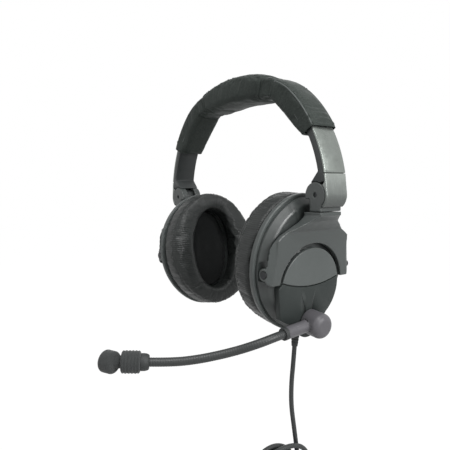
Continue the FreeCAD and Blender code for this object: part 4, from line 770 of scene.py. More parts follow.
def tumbled(node: str, name: str, finish: Finish, grid_mm: float) -> bpy.types.Object:
    """A copy of a rigid node with every edge rounded, for a shape with many short edges.

    The solid is filled with a grid of cells, its skin is drawn again from them, and that skin is relaxed,
    which rounds each edge by about one cell.

    Args:
        node: the node.
        name: the piece's name.
        finish: its finish.
        grid_mm: the size of a cell.

    Returns:
        The piece.
    """
    piece = replica(node, name, finish)
    skin = piece.modifiers.new("skin", "REMESH")
    skin.mode = "VOXEL"
    skin.voxel_size = grid_mm * MM
    skin.use_smooth_shade = True
    relaxed = piece.modifiers.new("relaxed", "SMOOTH")
    relaxed.factor = 0.5
    relaxed.iterations = 5
    return piece


def dress(finish: Finish, *nodes: str) -> None:
    """Gives nodes that stay in view their finish."""
    for node in nodes:
        mesh = frame["nodes"][node].data
        mesh.materials.clear()
        mesh.materials.append(finish.material())


@dataclass(frozen=True)
class Filling:
    """How full a sewn cover is.

    Attributes:
        pressure: the pressure inside.
        cap_mm: how far a point may move.
        slack: how much larger the cloth is cut than its shape, as a share.
    """

    pressure: float
    cap_mm: float
    slack: float


def puff(piece: bpy.types.Object, held: np.ndarray, filling: Filling) -> None:
    """Blows a sewn cover up over its foam, with its seams held, and keeps the result.

    Args:
        piece: the cover.
        held: which points are held, as numbers.
        filling: how full it is.
    """
    scene = bpy.context.scene
    group = piece.vertex_groups.new(name="sewn")
    group.add([int(index) for index in held], 1.0, "REPLACE")
    cover = piece.modifiers.new("cover", "CLOTH")
    cloth = cover.settings
    cloth.quality = 6
    cloth.mass = 0.25
    cloth.tension_stiffness = cloth.compression_stiffness = 12
    cloth.shear_stiffness = 6
    cloth.bending_stiffness = 0.4
    cloth.use_pressure = True
    cloth.uniform_pressure_force = filling.pressure
    cloth.shrink_min = -filling.slack
    cloth.effector_weights.gravity = 0
    cloth.vertex_group_mass = "sewn"
    cover.point_cache.frame_start, cover.point_cache.frame_end = 1, CLOTH_STEPS
    rest = vertex_rows(piece.data)
    for step in range(1, CLOTH_STEPS + 1):
        scene.frame_set(step)
    simulated = piece.evaluated_get(bpy.context.evaluated_depsgraph_get())
    shift = vertex_rows(simulated.to_mesh()) - rest
    simulated.to_mesh_clear()
    far = np.linalg.norm(shift, axis=1, keepdims=True)
    limit = filling.cap_mm * MM
    shift *= np.where(far > limit, limit / np.maximum(far, 1e-12), 1.0)
    piece.modifiers.remove(cover)
    piece.vertex_groups.remove(group)
    piece.data.vertices.foreach_set("co", (rest + shift).ravel())
    piece.data.update()
    scene.frame_set(1)
    LOG.info("%s: cover moved up to %.1f mm", piece.name, float(np.minimum(far, limit).max()) / MM)


def stitches(name: str, line: np.ndarray, out: np.ndarray, body: str, pitch_mm: float = 3.4,
             length_mm: float = 2.3, radius_mm: float = 0.28) -> bpy.types.Object:
    """A row of sewn stitches: one small capsule per stitch, laid along a line and pressed into the cloth.

    Args:
        name: the piece's name.
        line: the seam, in metres.
        out: the direction out of the cloth at each point of it.
        body: the body that it rides on.
        pitch_mm: from one stitch to the next.
        length_mm: the length of a stitch.
        radius_mm: the thread's radius.

    Returns:
        The piece.
    """
    run = way_along(line)
    pitch = pitch_mm * MM
    middles = np.arange(pitch * 0.7, run[-1] - pitch * 0.5, pitch)
    at, up = points_at(middles, run, line), points_at(middles, run, out)
    along = points_at(middles + 1 * MM, run, line) - at
    along /= np.linalg.norm(along, axis=1, keepdims=True)
    up -= along * (up * along).sum(1, keepdims=True)
    up /= np.linalg.norm(up, axis=1, keepdims=True)
    side = np.cross(along, up)
    # A stitch from one end to the other: shares of its length, and of its thread's radius
    place = np.array([-0.5, -0.42, 0.0, 0.42, 0.5]) * length_mm * MM
    radius = np.array([0.05, 0.8, 1.0, 0.8, 0.05]) * radius_mm * MM
    sink = np.array([0.45, 0.2, 0.0, 0.2, 0.45]) * radius_mm * MM
    angle = np.linspace(0, 2 * np.pi, 6, endpoint=False)
    ring = (side[:, None, None] * np.cos(angle)[None, None, :, None]
            + up[:, None, None] * np.sin(angle)[None, None, :, None]) * radius[None, :, None, None]
    centre = at[:, None] + along[:, None] * place[None, :, None] - up[:, None] * sink[None, :, None]
    points = (centre[:, :, None] + ring).reshape(-1, 3)
    one = grid_faces(len(place), len(angle))
    each = len(place) * len(angle)
    faces = (one[None] + (np.arange(len(middles)) * each)[:, None, None]).reshape(-1, 4)
    piece = piece_from(name, points, faces, SEWING_THREAD, body)
    close_ends(piece)
    return piece


# Geometry shared by several sub-assemblies


@dataclass(frozen=True)
class BandLine:
    """The headband's middle line, seen from the front: an arm's arc, a shoulder's arc and the crown's arc.

    Sizes are millimetres and degrees. An angle runs from 0 at the foot of the left arm to 90 over the crown
    and on to 180 at the foot of the right arm.
    """

    arm_radius: float = 98.2
    shoulder_radius: float = 50.0
    shoulder_start: float = 48.0
    crown_start: float = 68.2
    centre_z: float = -77.03

    def at(self, angle: np.ndarray, offset: np.ndarray | float) -> np.ndarray:
        """Points at an offset from the middle line: each arc's centre plus its radius along the angle.

        Args:
            angle: where along the band.
            offset: how far outwards.

        Returns:
            (x, z) rows in millimetres.
        """
        angle = np.asarray(angle, float)
        left = np.minimum(angle, 180 - angle)
        turn, start, crown = (np.radians(a) for a in (left, self.shoulder_start, self.crown_start))
        reach = self.arm_radius - self.shoulder_radius
        shoulder = np.array([reach * np.cos(start), reach * np.sin(start)])
        rise = shoulder[0] / np.cos(crown)
        crown_centre = np.array([0.0, shoulder[1] - rise * np.sin(crown)])
        on_arm, on_crown = left < self.shoulder_start, left > self.crown_start
        centre = np.where(on_arm[..., None], 0.0, np.where(on_crown[..., None], crown_centre, shoulder))
        radius = np.where(on_arm, self.arm_radius,
                          np.where(on_crown, self.shoulder_radius + rise, self.shoulder_radius)) + offset
        x = (centre[..., 0] + radius * np.cos(turn)) * np.where(angle > 90, -1, 1)
        z = centre[..., 1] + radius * np.sin(turn) + self.centre_z
        return np.stack([x, z], axis=-1)


@dataclass(frozen=True)
class CupFrame:
    """An ear cup's own directions: depth outwards from the cushion's front, across to the back, height.

    Sizes are millimetres and degrees.
    """

    side: Side
    pivot_x: float = 72.8
    pivot_z: float = -128.58
    pivot_depth: float = 33.0
    toe_in: float = 6.2
    middle: float = 3.0

    def place(self, depth: np.ndarray, across: np.ndarray, height: np.ndarray) -> np.ndarray:
        """Turns cup positions to the part's frame.

        Args:
            depth: outwards from the cushion's front.
            across: towards the wearer's back.
            height: upwards from the tilt pivot.

        Returns:
            Positions in metres.
        """
        turn = math.radians(self.toe_in)
        out = depth - self.pivot_depth
        x = self.pivot_x + out * math.cos(turn) + height * math.sin(turn)
        z = self.pivot_z - out * math.sin(turn) + height * math.cos(turn)
        return np.stack(np.broadcast_arrays(self.side.value * x, across, z), axis=-1) * MM


def oval(normal: np.ndarray, half_width: float, half_height: float, end_radius: float) -> np.ndarray:
    """An oval of four tangent arcs, at the place where its outward direction is the given angle.

    Each place is its arc's centre plus the arc's radius along the direction, so a wall of even thickness is
    the same formula with both half sizes and the end radius changed alike.

    Args:
        normal: the outward direction, in radians.
        half_width: half the width.
        half_height: half the height.
        end_radius: the radius of the top and bottom arcs.

    Returns:
        (across, height) rows in millimetres.
    """
    end_centre, slack = half_height - end_radius, half_width - end_radius
    side_offset = (end_centre ** 2 - slack ** 2) / (2 * slack)
    limit = math.atan2(end_centre, side_offset)
    direction = np.stack([np.cos(normal), np.sin(normal)], axis=-1)
    tilt = np.arcsin(np.clip(direction[..., 1], -1, 1))
    on_end = np.abs(tilt) > limit
    centre = np.stack([np.where(on_end, 0.0, -side_offset * np.sign(direction[..., 0])),
                       np.where(on_end, end_centre * np.sign(tilt), 0.0)], axis=-1)
    radius = np.where(on_end, end_radius, half_width + side_offset)
    return centre + direction * radius[..., None]


def spline_line(points: np.ndarray, steps: int) -> np.ndarray:
    """Points along the NURBS spline of third order that has the given control points.

    Args:
        points: control points in metres.
        steps: points for each control point.

    Returns:
        The points of the line, in order.
    """
    curve = nurbs_curve("line_to_follow", points, 0.0, steps)
    mesh = bpy.data.meshes.new_from_object(curve)
    line = vertex_rows(mesh)
    data = curve.data
    bpy.data.objects.remove(curve)
    bpy.data.curves.remove(data)
    bpy.data.meshes.remove(mesh)
    return line


def nurbs_curve(name: str, points: np.ndarray, radius: float, steps: int) -> bpy.types.Object:
    """A round cord as one NURBS spline with the given control points.

    Args:
        name: the piece's name.
        points: control points in metres.
        radius: the cord's radius, in metres.
        steps: the spline's resolution.

    Returns:
        The curve object, linked to the scene.
    """
    data = bpy.data.curves.new(name, "CURVE")
    data.dimensions = "3D"
    data.bevel_depth = radius
    data.bevel_resolution = 5
    data.use_fill_caps = radius > 0
    spline = data.splines.new("NURBS")
    spline.points.add(len(points) - 1)
    weighted = np.hstack([points, np.ones((len(points), 1))])
    spline.points.foreach_set("co", weighted.astype(np.float32).ravel())
    spline.order_u = 3
    spline.use_endpoint_u = True
    spline.resolution_u = steps
    return linked(name, data)


BAND = BandLine()


# Sub-assemblies


@dataclass(frozen=True)
class Lamp:
    """A square area lamp: where it stands, its side, its power in watts and the point that it faces."""

    name: str
    place: tuple[float, float, float]
    size: float
    power: float
    aim: tuple[float, float, float]


@dataclass
class Studio:
    """The camera at the photograph's angle, a plain pale floor and backdrop, and soft lamps.

    Angles are degrees and distances metres. The frame is taken as 450 by 450 pixels.
    """

    location: tuple[float, float, float] = (0.31648, -0.25233, -0.07316)
    aim: float = 53.73
    pitch: float = 3.69
    roll: float = -1.15
    focal_px: float = 477.23
    frame_px: float = 450.0
    floor_drop: float = 0.003
    floor_reach: float = 6.0
    lamps: tuple[Lamp, ...] = (
        Lamp("key_panel", (0.5, -0.3, 1.05), 0.6, 14.0, (0.0, 0.0, -0.08)),
        Lamp("side_panel", (1.05, 0.1, 0.3), 0.5, 13.0, (0.05, 0.0, -0.1)),
        Lamp("front_panel", (-0.3, -1.0, 0.35), 0.8, 2.2, (0.0, 0.0, -0.1)),
        Lamp("back_panel", (-0.7, 0.9, 0.4), 0.8, 1.2, (0.0, 0.0, -0.1)))

    def build(self) -> None:
        """Makes the camera, the floor, the lamps and the world."""
        self.add_camera()
        self.add_floor()
        for lamp in self.lamps:
            self.add_lamp(lamp)
        self.add_world()

    def add_camera(self) -> None:
        """The camera: its back direction from aim and pitch, then rolled."""
        aim, pitch, roll = (math.radians(a) for a in (self.aim, self.pitch, self.roll))
        back = Vector((math.sin(aim) * math.cos(pitch), -math.cos(aim) * math.cos(pitch), math.sin(pitch)))
        level = Vector((math.cos(aim), math.sin(aim), 0.0))
        upright = back.cross(level)
        right = level * math.cos(roll) + upright * math.sin(roll)
        up = upright * math.cos(roll) - level * math.sin(roll)
        data = bpy.data.cameras.new("camera")
        data.sensor_width = 36.0
        data.lens = self.focal_px * data.sensor_width / self.frame_px
        data.clip_start = 0.01
        camera = linked("camera", data)
        camera.matrix_world = Matrix((
            (right.x, up.x, back.x, self.location[0]), (right.y, up.y, back.y, self.location[1]),
            (right.z, up.z, back.z, self.location[2]), (0, 0, 0, 1)))
        bpy.context.scene.camera = camera

    def add_floor(self) -> None:
        """A wide plain floor under the hanging cord, white to the camera, with a faint soft shadow."""
        mesh = bpy.data.meshes.new("floor")
        reach, level = self.floor_reach, CAD_BOX[0][2] - self.floor_drop
        mesh.from_pydata([(-reach, -reach, level), (reach, -reach, level), (reach, reach, level),
                          (-reach, reach, level)], [], [(0, 1, 2, 3)])
        floor = linked("floor", mesh)
        made = bpy.data.materials.new("pale_floor")
        made.use_nodes = True
        tree = made.node_tree
        tree.nodes.clear()
        # Where it is seen it is nearly all glow, so that only a faint shadow shows on it
        share = add_node(tree, "Math", {"operation": "MULTIPLY"}, in0=direct_rays(tree), in1=0.93)
        paint = add_node(tree, "BsdfDiffuse", Color=linear("#d9d9d9"))
        white = add_node(tree, "Emission", Color=(1, 1, 1, 1), Strength=1.05)
        both = add_node(tree, "MixShader", in0=share.outputs[0], in1=paint.outputs[0], in2=white.outputs[0])
        add_node(tree, "OutputMaterial", Surface=both.outputs[0])
        mesh.materials.append(made)

    def add_lamp(self, lamp: Lamp) -> None:
        """Makes one lamp and turns it to the point that it faces."""
        data = bpy.data.lights.new(lamp.name, "AREA")
        data.size, data.energy = lamp.size, lamp.power
        panel = linked(lamp.name, data)
        panel.location = lamp.place
        panel.rotation_euler = (Vector(lamp.place) - Vector(lamp.aim)).to_track_quat("Z", "Y").to_euler()

    def add_world(self) -> None:
        """A soft grey sky for the light, and white where the camera or a reflection sees it."""
        world = bpy.data.worlds.new("world")
        world.use_nodes = True
        bpy.context.scene.world = world
        tree = world.node_tree
        tree.nodes.clear()
        height = add_node(tree, "SeparateXYZ", Vector=add_node(tree, "TexCoord").outputs["Generated"])
        height = add_node(tree, "MapRange", Value=height.outputs["Z"], From_Min=-1.0)
        sky = ramp(tree, height.outputs["Result"], tuple(
            (place, linear(grey)) for place, grey in ((0.0, "#4c4c4c"), (0.5, "#7c7c7c"), (1.0, "#cfcfcf"))))
        colour = mixed(tree, direct_rays(tree), sky, (1, 1, 1, 1))
        glow = add_node(tree, "Background", Color=colour, Strength=1.0)
        add_node(tree, "OutputWorld", Surface=glow.outputs[0])
        bpy.context.scene.view_settings.view_transform = "Standard"


@dataclass
class Headband:
    """The padded headband: a crown pad, a sewn sleeve on each side, their seams, and what shows of the rest.

    Sizes are millimetres and degrees. An arc length per radian turns band angles into millimetres. A
    squareness is the power of a section's sine and cosine: 1 is an ellipse. A gather is the band angle of
    a fold, its height, its width in degrees and how far it lies askew.
    """

    crown_rise: float = 6.4
    crown_edge_depth: float = 9.0
    crown_half_width: float = 15.1
    seam_half_width: float = 13.4
    sleeve_outside: float = 5.25
    sleeve_half_width: float = 12.5
    sleeve_end: float = 28.5
    seam_angle: float = 73.8
    seam_lap: float = 0.4
    pad_end: float = 29.5
    foot_depth: float = 8.05
    edge_depth: float = 8.4
    tunnel_half_depth: float = 4.78
    tunnel_half_width: float = 11.95
    tunnel_gap: float = 2.5
    crown_per_radian: float = 136.0
    sleeve_per_radian: float = 80.0
    crown_squareness: float = 0.42
    sleeve_squareness: float = 0.34
    tunnel_squareness: float = 0.12
    swell_length: float = 22.0
    flare: float = 0.7
    flare_length: float = 30.0
    end_rounding: float = 2.2
    end_draw: float = 0.16
    crown_filling: Filling = Filling(4.0, 1.3, 0.02)
    sleeve_filling: Filling = Filling(3.0, 0.9, 0.02)
    seam_shares: tuple[float, float] = (0.135, 0.365)
    seam_width: float = 0.75
    crown_seam_depth: float = 0.5
    sleeve_seam_depth: float = 0.55
    stitch_lift: float = 0.12
    stitched_share: float = 0.72
    columns: int = 72
    crown_rings: int = 96
    sleeve_rings: int = 120
    tunnel_rings: int = 40
    gathers: tuple[tuple[float, float, float, float], ...] = (
        (29.6, 1.4, 0.5, 0.25), (31.7, 1.5, 0.55, -0.5), (33.9, 1.3, 0.65, 0.6), (36.4, 0.5, 0.9, -0.5))

    def build(self) -> None:
        """Makes the pads and dresses the band's rigid nodes."""
        self.crown()
        for side in Side:
            self.sleeve(side)
            softened(f"{side.word}_slider_housing", f"{side.word}_slider_channel", SPARK_ABS,
                     0.4)
        dress(BLACKENED_STEEL, "headband_spring", "spring_rivets")

    def section(self, top: np.ndarray, bottom: np.ndarray, half_width: np.ndarray, squareness: float,
                scale: np.ndarray) -> np.ndarray:
        """Rings of a padded strip: a squared-off oval between its top and bottom line at each place.

        Args:
            top: (x, z) rows of the outer line.
            bottom: (x, z) rows of the inner line.
            half_width: half the width at each place.
            squareness: the section's squareness.
            scale: the share of the full section at each place, which rounds the ends.

        Returns:
            Rings of positions in millimetres.
        """
        angle = np.linspace(0, 2 * np.pi, self.columns, endpoint=False)
        up, across = soft_power(np.sin(angle), squareness), soft_power(np.cos(angle), squareness)
        middle, half = (top + bottom) / 2, (top - bottom) / 2
        flat = middle[:, None] + half[:, None] * (up[None, :, None] * scale[:, None, None])
        y = half_width[:, None] * across[None] * scale[:, None]
        return np.stack([flat[..., 0], y, flat[..., 1]], axis=-1)

    def end_scale(self, run: np.ndarray) -> np.ndarray:
        """The section's share near an end: a quarter circle over the rounding's length."""
        share = np.clip(run / self.end_rounding, 0, 1)
        return 1 - self.end_draw * (1 - np.sqrt(1 - (1 - share) ** 2))

    def closed(self, name: str, rings: np.ndarray) -> bpy.types.Object:
        """A closed cover from rings, with a point in the middle of each end.

        Args:
            name: the piece's name.
            rings: positions in millimetres.

        Returns:
            The piece, on the headband.
        """
        rows = len(rings)
        points = rings.reshape(-1, 3) * MM
        poles = np.stack([rings[0].mean(0), rings[-1].mean(0)]) * MM
        piece = piece_from(name, np.vstack([points, poles]), grid_faces(rows, self.columns), PAD_VINYL,
                           "headband")
        with edited(piece.data) as work:
            work.verts.ensure_lookup_table()
            for pole, start in ((len(points), 0), (len(points) + 1, (rows - 1) * self.columns)):
                for column in range(self.columns):
                    corners = [start + column, start + (column + 1) % self.columns]
                    fan = (corners if start else corners[::-1]) + [pole]
                    work.faces.new([work.verts[corner] for corner in fan]).smooth = True
        return piece

    def seam_columns(self) -> tuple[int, int]:
        """The columns of the two upper corners, where the cover's panels are sewn together."""
        back, front = self.seam_shares
        return round(self.columns * back), round(self.columns * front)

    def sink_seams(self, rings: np.ndarray, depth: float) -> np.ndarray:
        """Draws the cover in along its sewn corners: a narrow bell-shaped groove about each seam column."""
        column = np.arange(self.columns)
        middle = rings.mean(1, keepdims=True)
        inward = middle - rings
        inward /= np.linalg.norm(inward, axis=2, keepdims=True) + 1e-9
        draw = sum(np.exp(-((column - seam) / self.seam_width) ** 2) for seam in self.seam_columns())
        return rings + inward * (draw * depth)[None, :, None]

    def sew(self, name: str, piece: bpy.types.Object, rows: int, first: int, last: int) -> None:
        """Lays a row of stitches beside each sewn corner of a cover.

        Args:
            name: the start of the stitches' names.
            piece: the finished cover.
            rows: its number of rings.
            first: the first ring with stitches.
            last: the last one.
        """
        rings = vertex_rows(piece.data)[:rows * self.columns].reshape(rows, self.columns, 3)
        middle = rings.mean(1)
        back_seam, front_seam = self.seam_columns()
        for word, beside in (("back", back_seam + 2), ("front", front_seam - 2)):
            line = rings[first:last, beside]
            out = line - middle[first:last]
            out /= np.linalg.norm(out, axis=1, keepdims=True)
            stitches(f"{name}_{word}_stitches", line + out * self.stitch_lift * MM, out, "headband")

    def crown(self) -> None:
        """The pad over the crown: full in the middle and drawn in at its two sewn ends."""
        rows = self.crown_rings
        end = self.seam_angle - self.seam_lap
        angle = np.linspace(end, 180 - end, rows)
        top = BAND.at(angle, self.crown_rise)
        bottom = self.underside(angle, self.crown_edge_depth)
        run = np.radians(np.minimum(angle - angle[0], angle[-1] - angle)) * self.crown_per_radian
        swell = np.clip(run / self.swell_length, 0, 1) ** 0.5
        width = self.seam_half_width + (self.crown_half_width - self.seam_half_width) * swell
        rings = self.section(top, bottom, width, self.crown_squareness, self.end_scale(run))
        piece = self.closed("crown_cushion", self.sink_seams(rings, self.crown_seam_depth))
        puff(piece, self.held_points(rows, extra=0), self.crown_filling)
        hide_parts("crown_pad")
        self.sew("crown", piece, rows, 3, rows - 3)

    def underside(self, angle: np.ndarray, depth: float) -> np.ndarray:
        """The crown's underside: the arc through the band's middle that is a given depth below its ends.

        Args:
            angle: where along the band.
            depth: how far below the middle line it lies where the shoulder's arc ends.

        Returns:
            (x, z) rows in millimetres.
        """
        edge = BAND.at(np.array([BAND.crown_start]), -depth)[0]
        below = (edge[0] ** 2 + edge[1] ** 2) / (-2 * edge[1])
        across = edge[0] * (90 - angle) / (90 - BAND.crown_start)
        return np.stack([across, -below + np.sqrt(below ** 2 - across ** 2)], axis=-1)

    def held_points(self, rows: int, extra: int) -> np.ndarray:
        """The points that stitching or the band holds: both ends, the seam columns and any rings after them.

        Args:
            rows: the number of outer rings.
            extra: how many inner rings follow.

        Returns:
            Point numbers.
        """
        grid = np.arange(rows * self.columns).reshape(rows, self.columns)
        seams = grid[:, list(self.seam_columns())].ravel()
        ends = np.concatenate([grid[:2].ravel(), grid[-2:].ravel()])
        inner = np.arange(rows * self.columns, (rows + extra) * self.columns)
        poles = np.array([0, 1]) + (rows + extra) * self.columns
        return np.unique(np.concatenate([seams, ends, inner, poles]))

    def sleeve(self, side: Side) -> None:
        """One side's sewn sleeve over its pad: open at the mouth, where the arm slides in.

        Its rings run down the outside from the crown seam to the mouth, turn in, and run up the tunnel that
        holds the slider channel. Above the mouth the outside is gathered in low folds.

        Args:
            side: the side of the head.
        """
        rows, inner_rows = self.sleeve_rings, self.tunnel_rings
        end = self.seam_angle + self.seam_lap
        angle = np.linspace(end, self.sleeve_end, rows)
        top = BAND.at(angle, self.sleeve_outside)
        foot = BAND.at(np.array([self.pad_end]), -self.foot_depth)[0]
        edge = BAND.at(np.array([BAND.crown_start]), -self.edge_depth)[0]
        share = np.clip((angle - self.pad_end) / (BAND.crown_start - self.pad_end), -0.03, 1)[:, None]
        bottom = np.where(angle[:, None] > BAND.crown_start, self.underside(angle, self.edge_depth),
                          foot + (edge - foot) * share)
        run = np.radians(end - angle) * self.sleeve_per_radian
        width = self.sleeve_half_width + self.flare * np.clip(1 - run / self.flare_length, 0, 1)
        rings = self.section(top, bottom, width, self.sleeve_squareness, self.end_scale(run))
        rings = self.gather(self.sink_seams(rings, self.sleeve_seam_depth), angle)
        inner_angle = np.linspace(self.sleeve_end, BAND.crown_start - self.tunnel_gap, inner_rows)
        roof, ground = (BAND.at(inner_angle, way * self.tunnel_half_depth) for way in (1, -1))
        tunnel = self.section(roof, ground, np.full(inner_rows, self.tunnel_half_width),
                              self.tunnel_squareness, np.ones(inner_rows))
        every = np.concatenate([rings, tunnel])
        every[..., 0] *= side.value
        piece = self.closed(f"{side.word}_band_sleeve", every)
        puff(piece, self.held_points(rows, inner_rows), self.sleeve_filling)
        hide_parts(f"{side.word}_side_pad")
        self.sew(side.word, piece, rows, 3, round(rows * self.stitched_share))

    def gather(self, rings: np.ndarray, angle: np.ndarray) -> np.ndarray:
        """Raises the folds above the mouth: ridges across the outside, each a little askew.

        Args:
            rings: the outer rings.
            angle: the band angle of each.

        Returns:
            The rings with their folds.
        """
        middle = rings.mean(1, keepdims=True)
        out = rings - middle
        out /= np.linalg.norm(out, axis=2, keepdims=True) + 1e-9
        across = rings[..., 1] / self.sleeve_half_width
        ridge = np.zeros(rings.shape[:2])
        for place, height, width, skew in self.gathers:
            # A fold wanders a little and is higher in some places than in others
            bow = place + skew * across + 0.35 * np.sin(across * 4 + place)
            uneven = 0.75 + 0.25 * np.cos(across * 5 + 2 * place)
            ridge += height * np.exp(-((angle[:, None] - bow) / width) ** 2) * uneven
        # Between the folds the cover is drawn in towards the mouth
        ridge -= 0.35 * np.clip((41 - angle[:, None]) / 10, 0, 1)
        turn = np.linspace(0, 2 * np.pi, self.columns, endpoint=False)
        outside = np.clip((np.sin(turn) - 0.45) / 0.3, 0, 1)
        mouth = np.clip((angle - self.sleeve_end) / 0.8, 0, 1)[:, None]
        return rings + out * (ridge * outside[None] * mouth)[..., None]


@dataclass
class Arm:
    """One side's sliding arm with its bright cover, and the folding hinge at its foot."""

    side: Side

    def build(self) -> None:
        """Makes the arm's pieces from their nodes, with the edges that casting and moulding leave."""
        word = self.side.word
        softened(f"{word}_arm_frame", f"{word}_arm_rail", ENAMELLED_ARM, 0.5)
        softened(f"{word}_arm_cover", f"{word}_arm_trim", ANODISED_COVER, 0.45)
        tumbled(f"{word}_hinge_cover", f"{word}_hinge_guard", FOOT_SHADED_COVER, 0.3)
        tumbled(f"{word}_hinge_knuckle", f"{word}_fold_knuckle", FILLED_NYLON, 0.35)
        dress(BLACKENED_STEEL, f"{word}_hinge_pin")


@dataclass
class Yoke:
    """One side's yoke with its clip and its two pivot screws."""

    side: Side

    def build(self) -> None:
        """Makes the yoke with moulded edges and dresses its metal parts."""
        word = self.side.word
        tumbled(f"{word}_yoke", f"{word}_cup_yoke", FILLED_NYLON, 0.45)
        dress(BLACKENED_STEEL, f"{word}_swivel_clip", f"{word}_pivot_screws")


@dataclass
class EarCup:
    """One side's ear cup: the cushion in its sewn cover, the ear cloth, the rim and the shell.

    Sizes are millimetres. An oval is half its width, half its height and the radius of its ends. A section's
    powers square it off, and its draws and swells are shares of the way from the inner oval to the outer
    one.
    """

    side: Side
    cushion_half: tuple[float, float, float] = (44.6, 50.6, 35.6)
    ear_half: tuple[float, float, float] = (22.7, 35.5, 18.0)
    thickness: float = 21.3
    across_power: float = 0.62
    front_power: float = 0.58
    back_fullness: float = 0.98
    back_pull: float = 0.05
    filling: Filling = Filling(4.5, 1.6, 0.025)
    seam_share: float = 0.085
    seam_width: float = 0.8
    seam_depth: float = 0.35
    seam_draw: float = 0.018
    crease_depth: float = 0.28
    crease_swell: float = 0.012
    crease_seed: int = 7
    held_depth: float = 1.2
    rows: int = 208
    columns: int = 52
    cloth_depth: float = 18.3
    cloth_gap: float = 0.5
    cloth_sag: float = 1.1
    seam_length: float = 240.0
    stitch_lift: float = 0.08
    cup: CupFrame = field(init=False)

    def __post_init__(self) -> None:
        """Takes the cup's directions from its side."""
        self.cup = CupFrame(self.side)

    def build(self) -> None:
        """Makes the soft pieces, then the rigid ones."""
        word = self.side.word
        self.cushion()
        self.ear_cloth()
        softened(f"{word}_baffle", f"{word}_cup_rim", SPARK_ABS, 0.35)
        softened(f"{word}_cup_shell", f"{word}_shell", SHELL_ABS, 0, sharp=35.0)
        softened(f"{word}_pod_cap", f"{word}_cap", CAP_ABS, 0)
        dress(ZINC_PLATE, f"{word}_driver")
        dress(BLACKENED_STEEL, f"{word}_cup_screws")
        if self.side is Side.LEFT:
            softened("boom_module", "boom_panel", PANEL_ABS, 0.5)
            dress(BLACKENED_STEEL, "hub_shaft")
            dress(KNOB_ABS, "hub_washer")
            dress(SOLDER_RESIST, "terminal_board")
        else:
            softened("right_panel", "right_lower_panel", PANEL_ABS, 0)

    def cushion(self) -> None:
        """The ear cushion: a ring whose section is a squared oval, full at the front and held at the back.

        A place of the ring is (direction, turn). The direction picks a point on the outer and on the inner
        oval, the turn goes round the section between them. The cover is sewn along the outer front corner
        and along the back, and is drawn in there.
        """
        normal = np.linspace(0, 2 * np.pi, self.rows, endpoint=False)
        turn = np.linspace(0, 2 * np.pi, self.columns, endpoint=False)
        outer, inner = oval(normal, *self.cushion_half), oval(normal, *self.ear_half)
        across = 0.5 + 0.5 * soft_power(np.cos(turn), self.across_power)
        front = soft_power(np.sin(turn), self.front_power)
        lift = np.where(front > 0, front, front * self.back_fullness)
        pull = np.where(np.sin(turn) < 0, self.back_pull * np.sin(turn) ** 2 * np.sign(np.cos(turn)), 0.0)
        across = across - pull
        seam = round(self.columns * self.seam_share)
        column = np.arange(self.columns)
        groove = np.exp(-((column - seam) / self.seam_width) ** 2)
        depth = self.thickness / 2 * (1 - lift) + self.seam_depth * groove
        wave = self.creases(normal, turn)
        share = (across - self.seam_draw * groove)[None] + wave * self.crease_swell
        ring = inner[:, None] + (outer - inner)[:, None] * share[..., None]
        points = self.cup.place(depth[None] - wave * self.crease_depth, ring[..., 0],
                                ring[..., 1] + self.cup.middle)
        section = np.stack([across * (self.cushion_half[0] - self.ear_half[0]), depth], axis=-1)
        faces = grid_faces(self.rows, self.columns, True)
        word = self.side.word
        piece = piece_from(f"{word}_cushion", points.reshape(-1, 3), faces, CUSHION_LEATHER,
                           f"{word}_cup", self.cover_map(section, faces))
        mend_normals(piece, 1e-8)
        grid = np.arange(self.rows * self.columns).reshape(self.rows, self.columns)
        back = column[depth > self.thickness - self.held_depth]
        held = np.unique(np.concatenate([grid[:, back].ravel(), grid[:, seam].ravel()]))
        puff(piece, held, self.filling)
        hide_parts(f"{word}_ear_cushion")
        self.edge_stitches(piece, seam)

    def cover_map(self, section: np.ndarray, faces: np.ndarray) -> np.ndarray:
        """The cover's UV map: U is the way along the ring and V the way round its section, in metres.

        The corners that close the ring or the section take the full length in place of zero.

        Args:
            section: (across, depth) of each column, in millimetres.
            faces: the ring's faces, row by row.

        Returns:
            One UV position for each corner of each face.
        """
        way = way_along(np.vstack([section, section[:1]])) * MM
        row, column = faces // self.columns, faces % self.columns
        place = np.arange(len(faces))[:, None]
        row = np.where((row == 0) & (place // self.columns == self.rows - 1), self.rows, row)
        column = np.where((column == 0) & (place % self.columns == self.columns - 1), self.columns, column)
        return np.stack([row / self.rows * self.seam_length * MM, way[column]], axis=-1).reshape(-1, 2)

    def creases(self, normal: np.ndarray, turn: np.ndarray) -> np.ndarray:
        """Fine creases across the ring: a sum of waves along it whose phase drifts round the section.

        Args:
            normal: the direction of each row, in radians.
            turn: the turn of each column, in radians.

        Returns:
            Heights from -1 to 1 in rows and columns.
        """
        rng = np.random.default_rng(self.crease_seed)
        total = np.zeros((len(normal), len(turn)))
        counts = (43, 61, 87)
        for count in counts:
            phase, drift = rng.uniform(0, 2 * np.pi, 2)
            total += np.sin(count * normal[:, None] + phase + 1.3 * np.sin(turn[None] * 2 + drift))
        # Strongest on the front towards the outer edge, and slowly stronger and weaker along the ring
        strength = np.clip(np.sin(turn) + 0.9, 0, 1) * (0.35 + 0.65 * np.clip(np.cos(turn) + 0.2, 0, 1))
        slow = 0.6 + 0.4 * np.sin(5 * normal[:, None] + 1.1)
        return total / len(counts) * strength[None] * slow

    def edge_stitches(self, piece: bpy.types.Object, seam: int) -> None:
        """The stitches beside the cover's outer seam."""
        line, out = (np.vstack([rows[:, seam - 2], rows[:1, seam - 2]]) for rows in (
            vertex_rows(piece.data, what).reshape(self.rows, self.columns, 3) for what in ("co", "normal")))
        stitches(f"{self.side.word}_cushion_stitches", line + out * self.stitch_lift * MM, out,
                 f"{self.side.word}_cup", pitch_mm=3.0, length_mm=2.0, radius_mm=0.2)

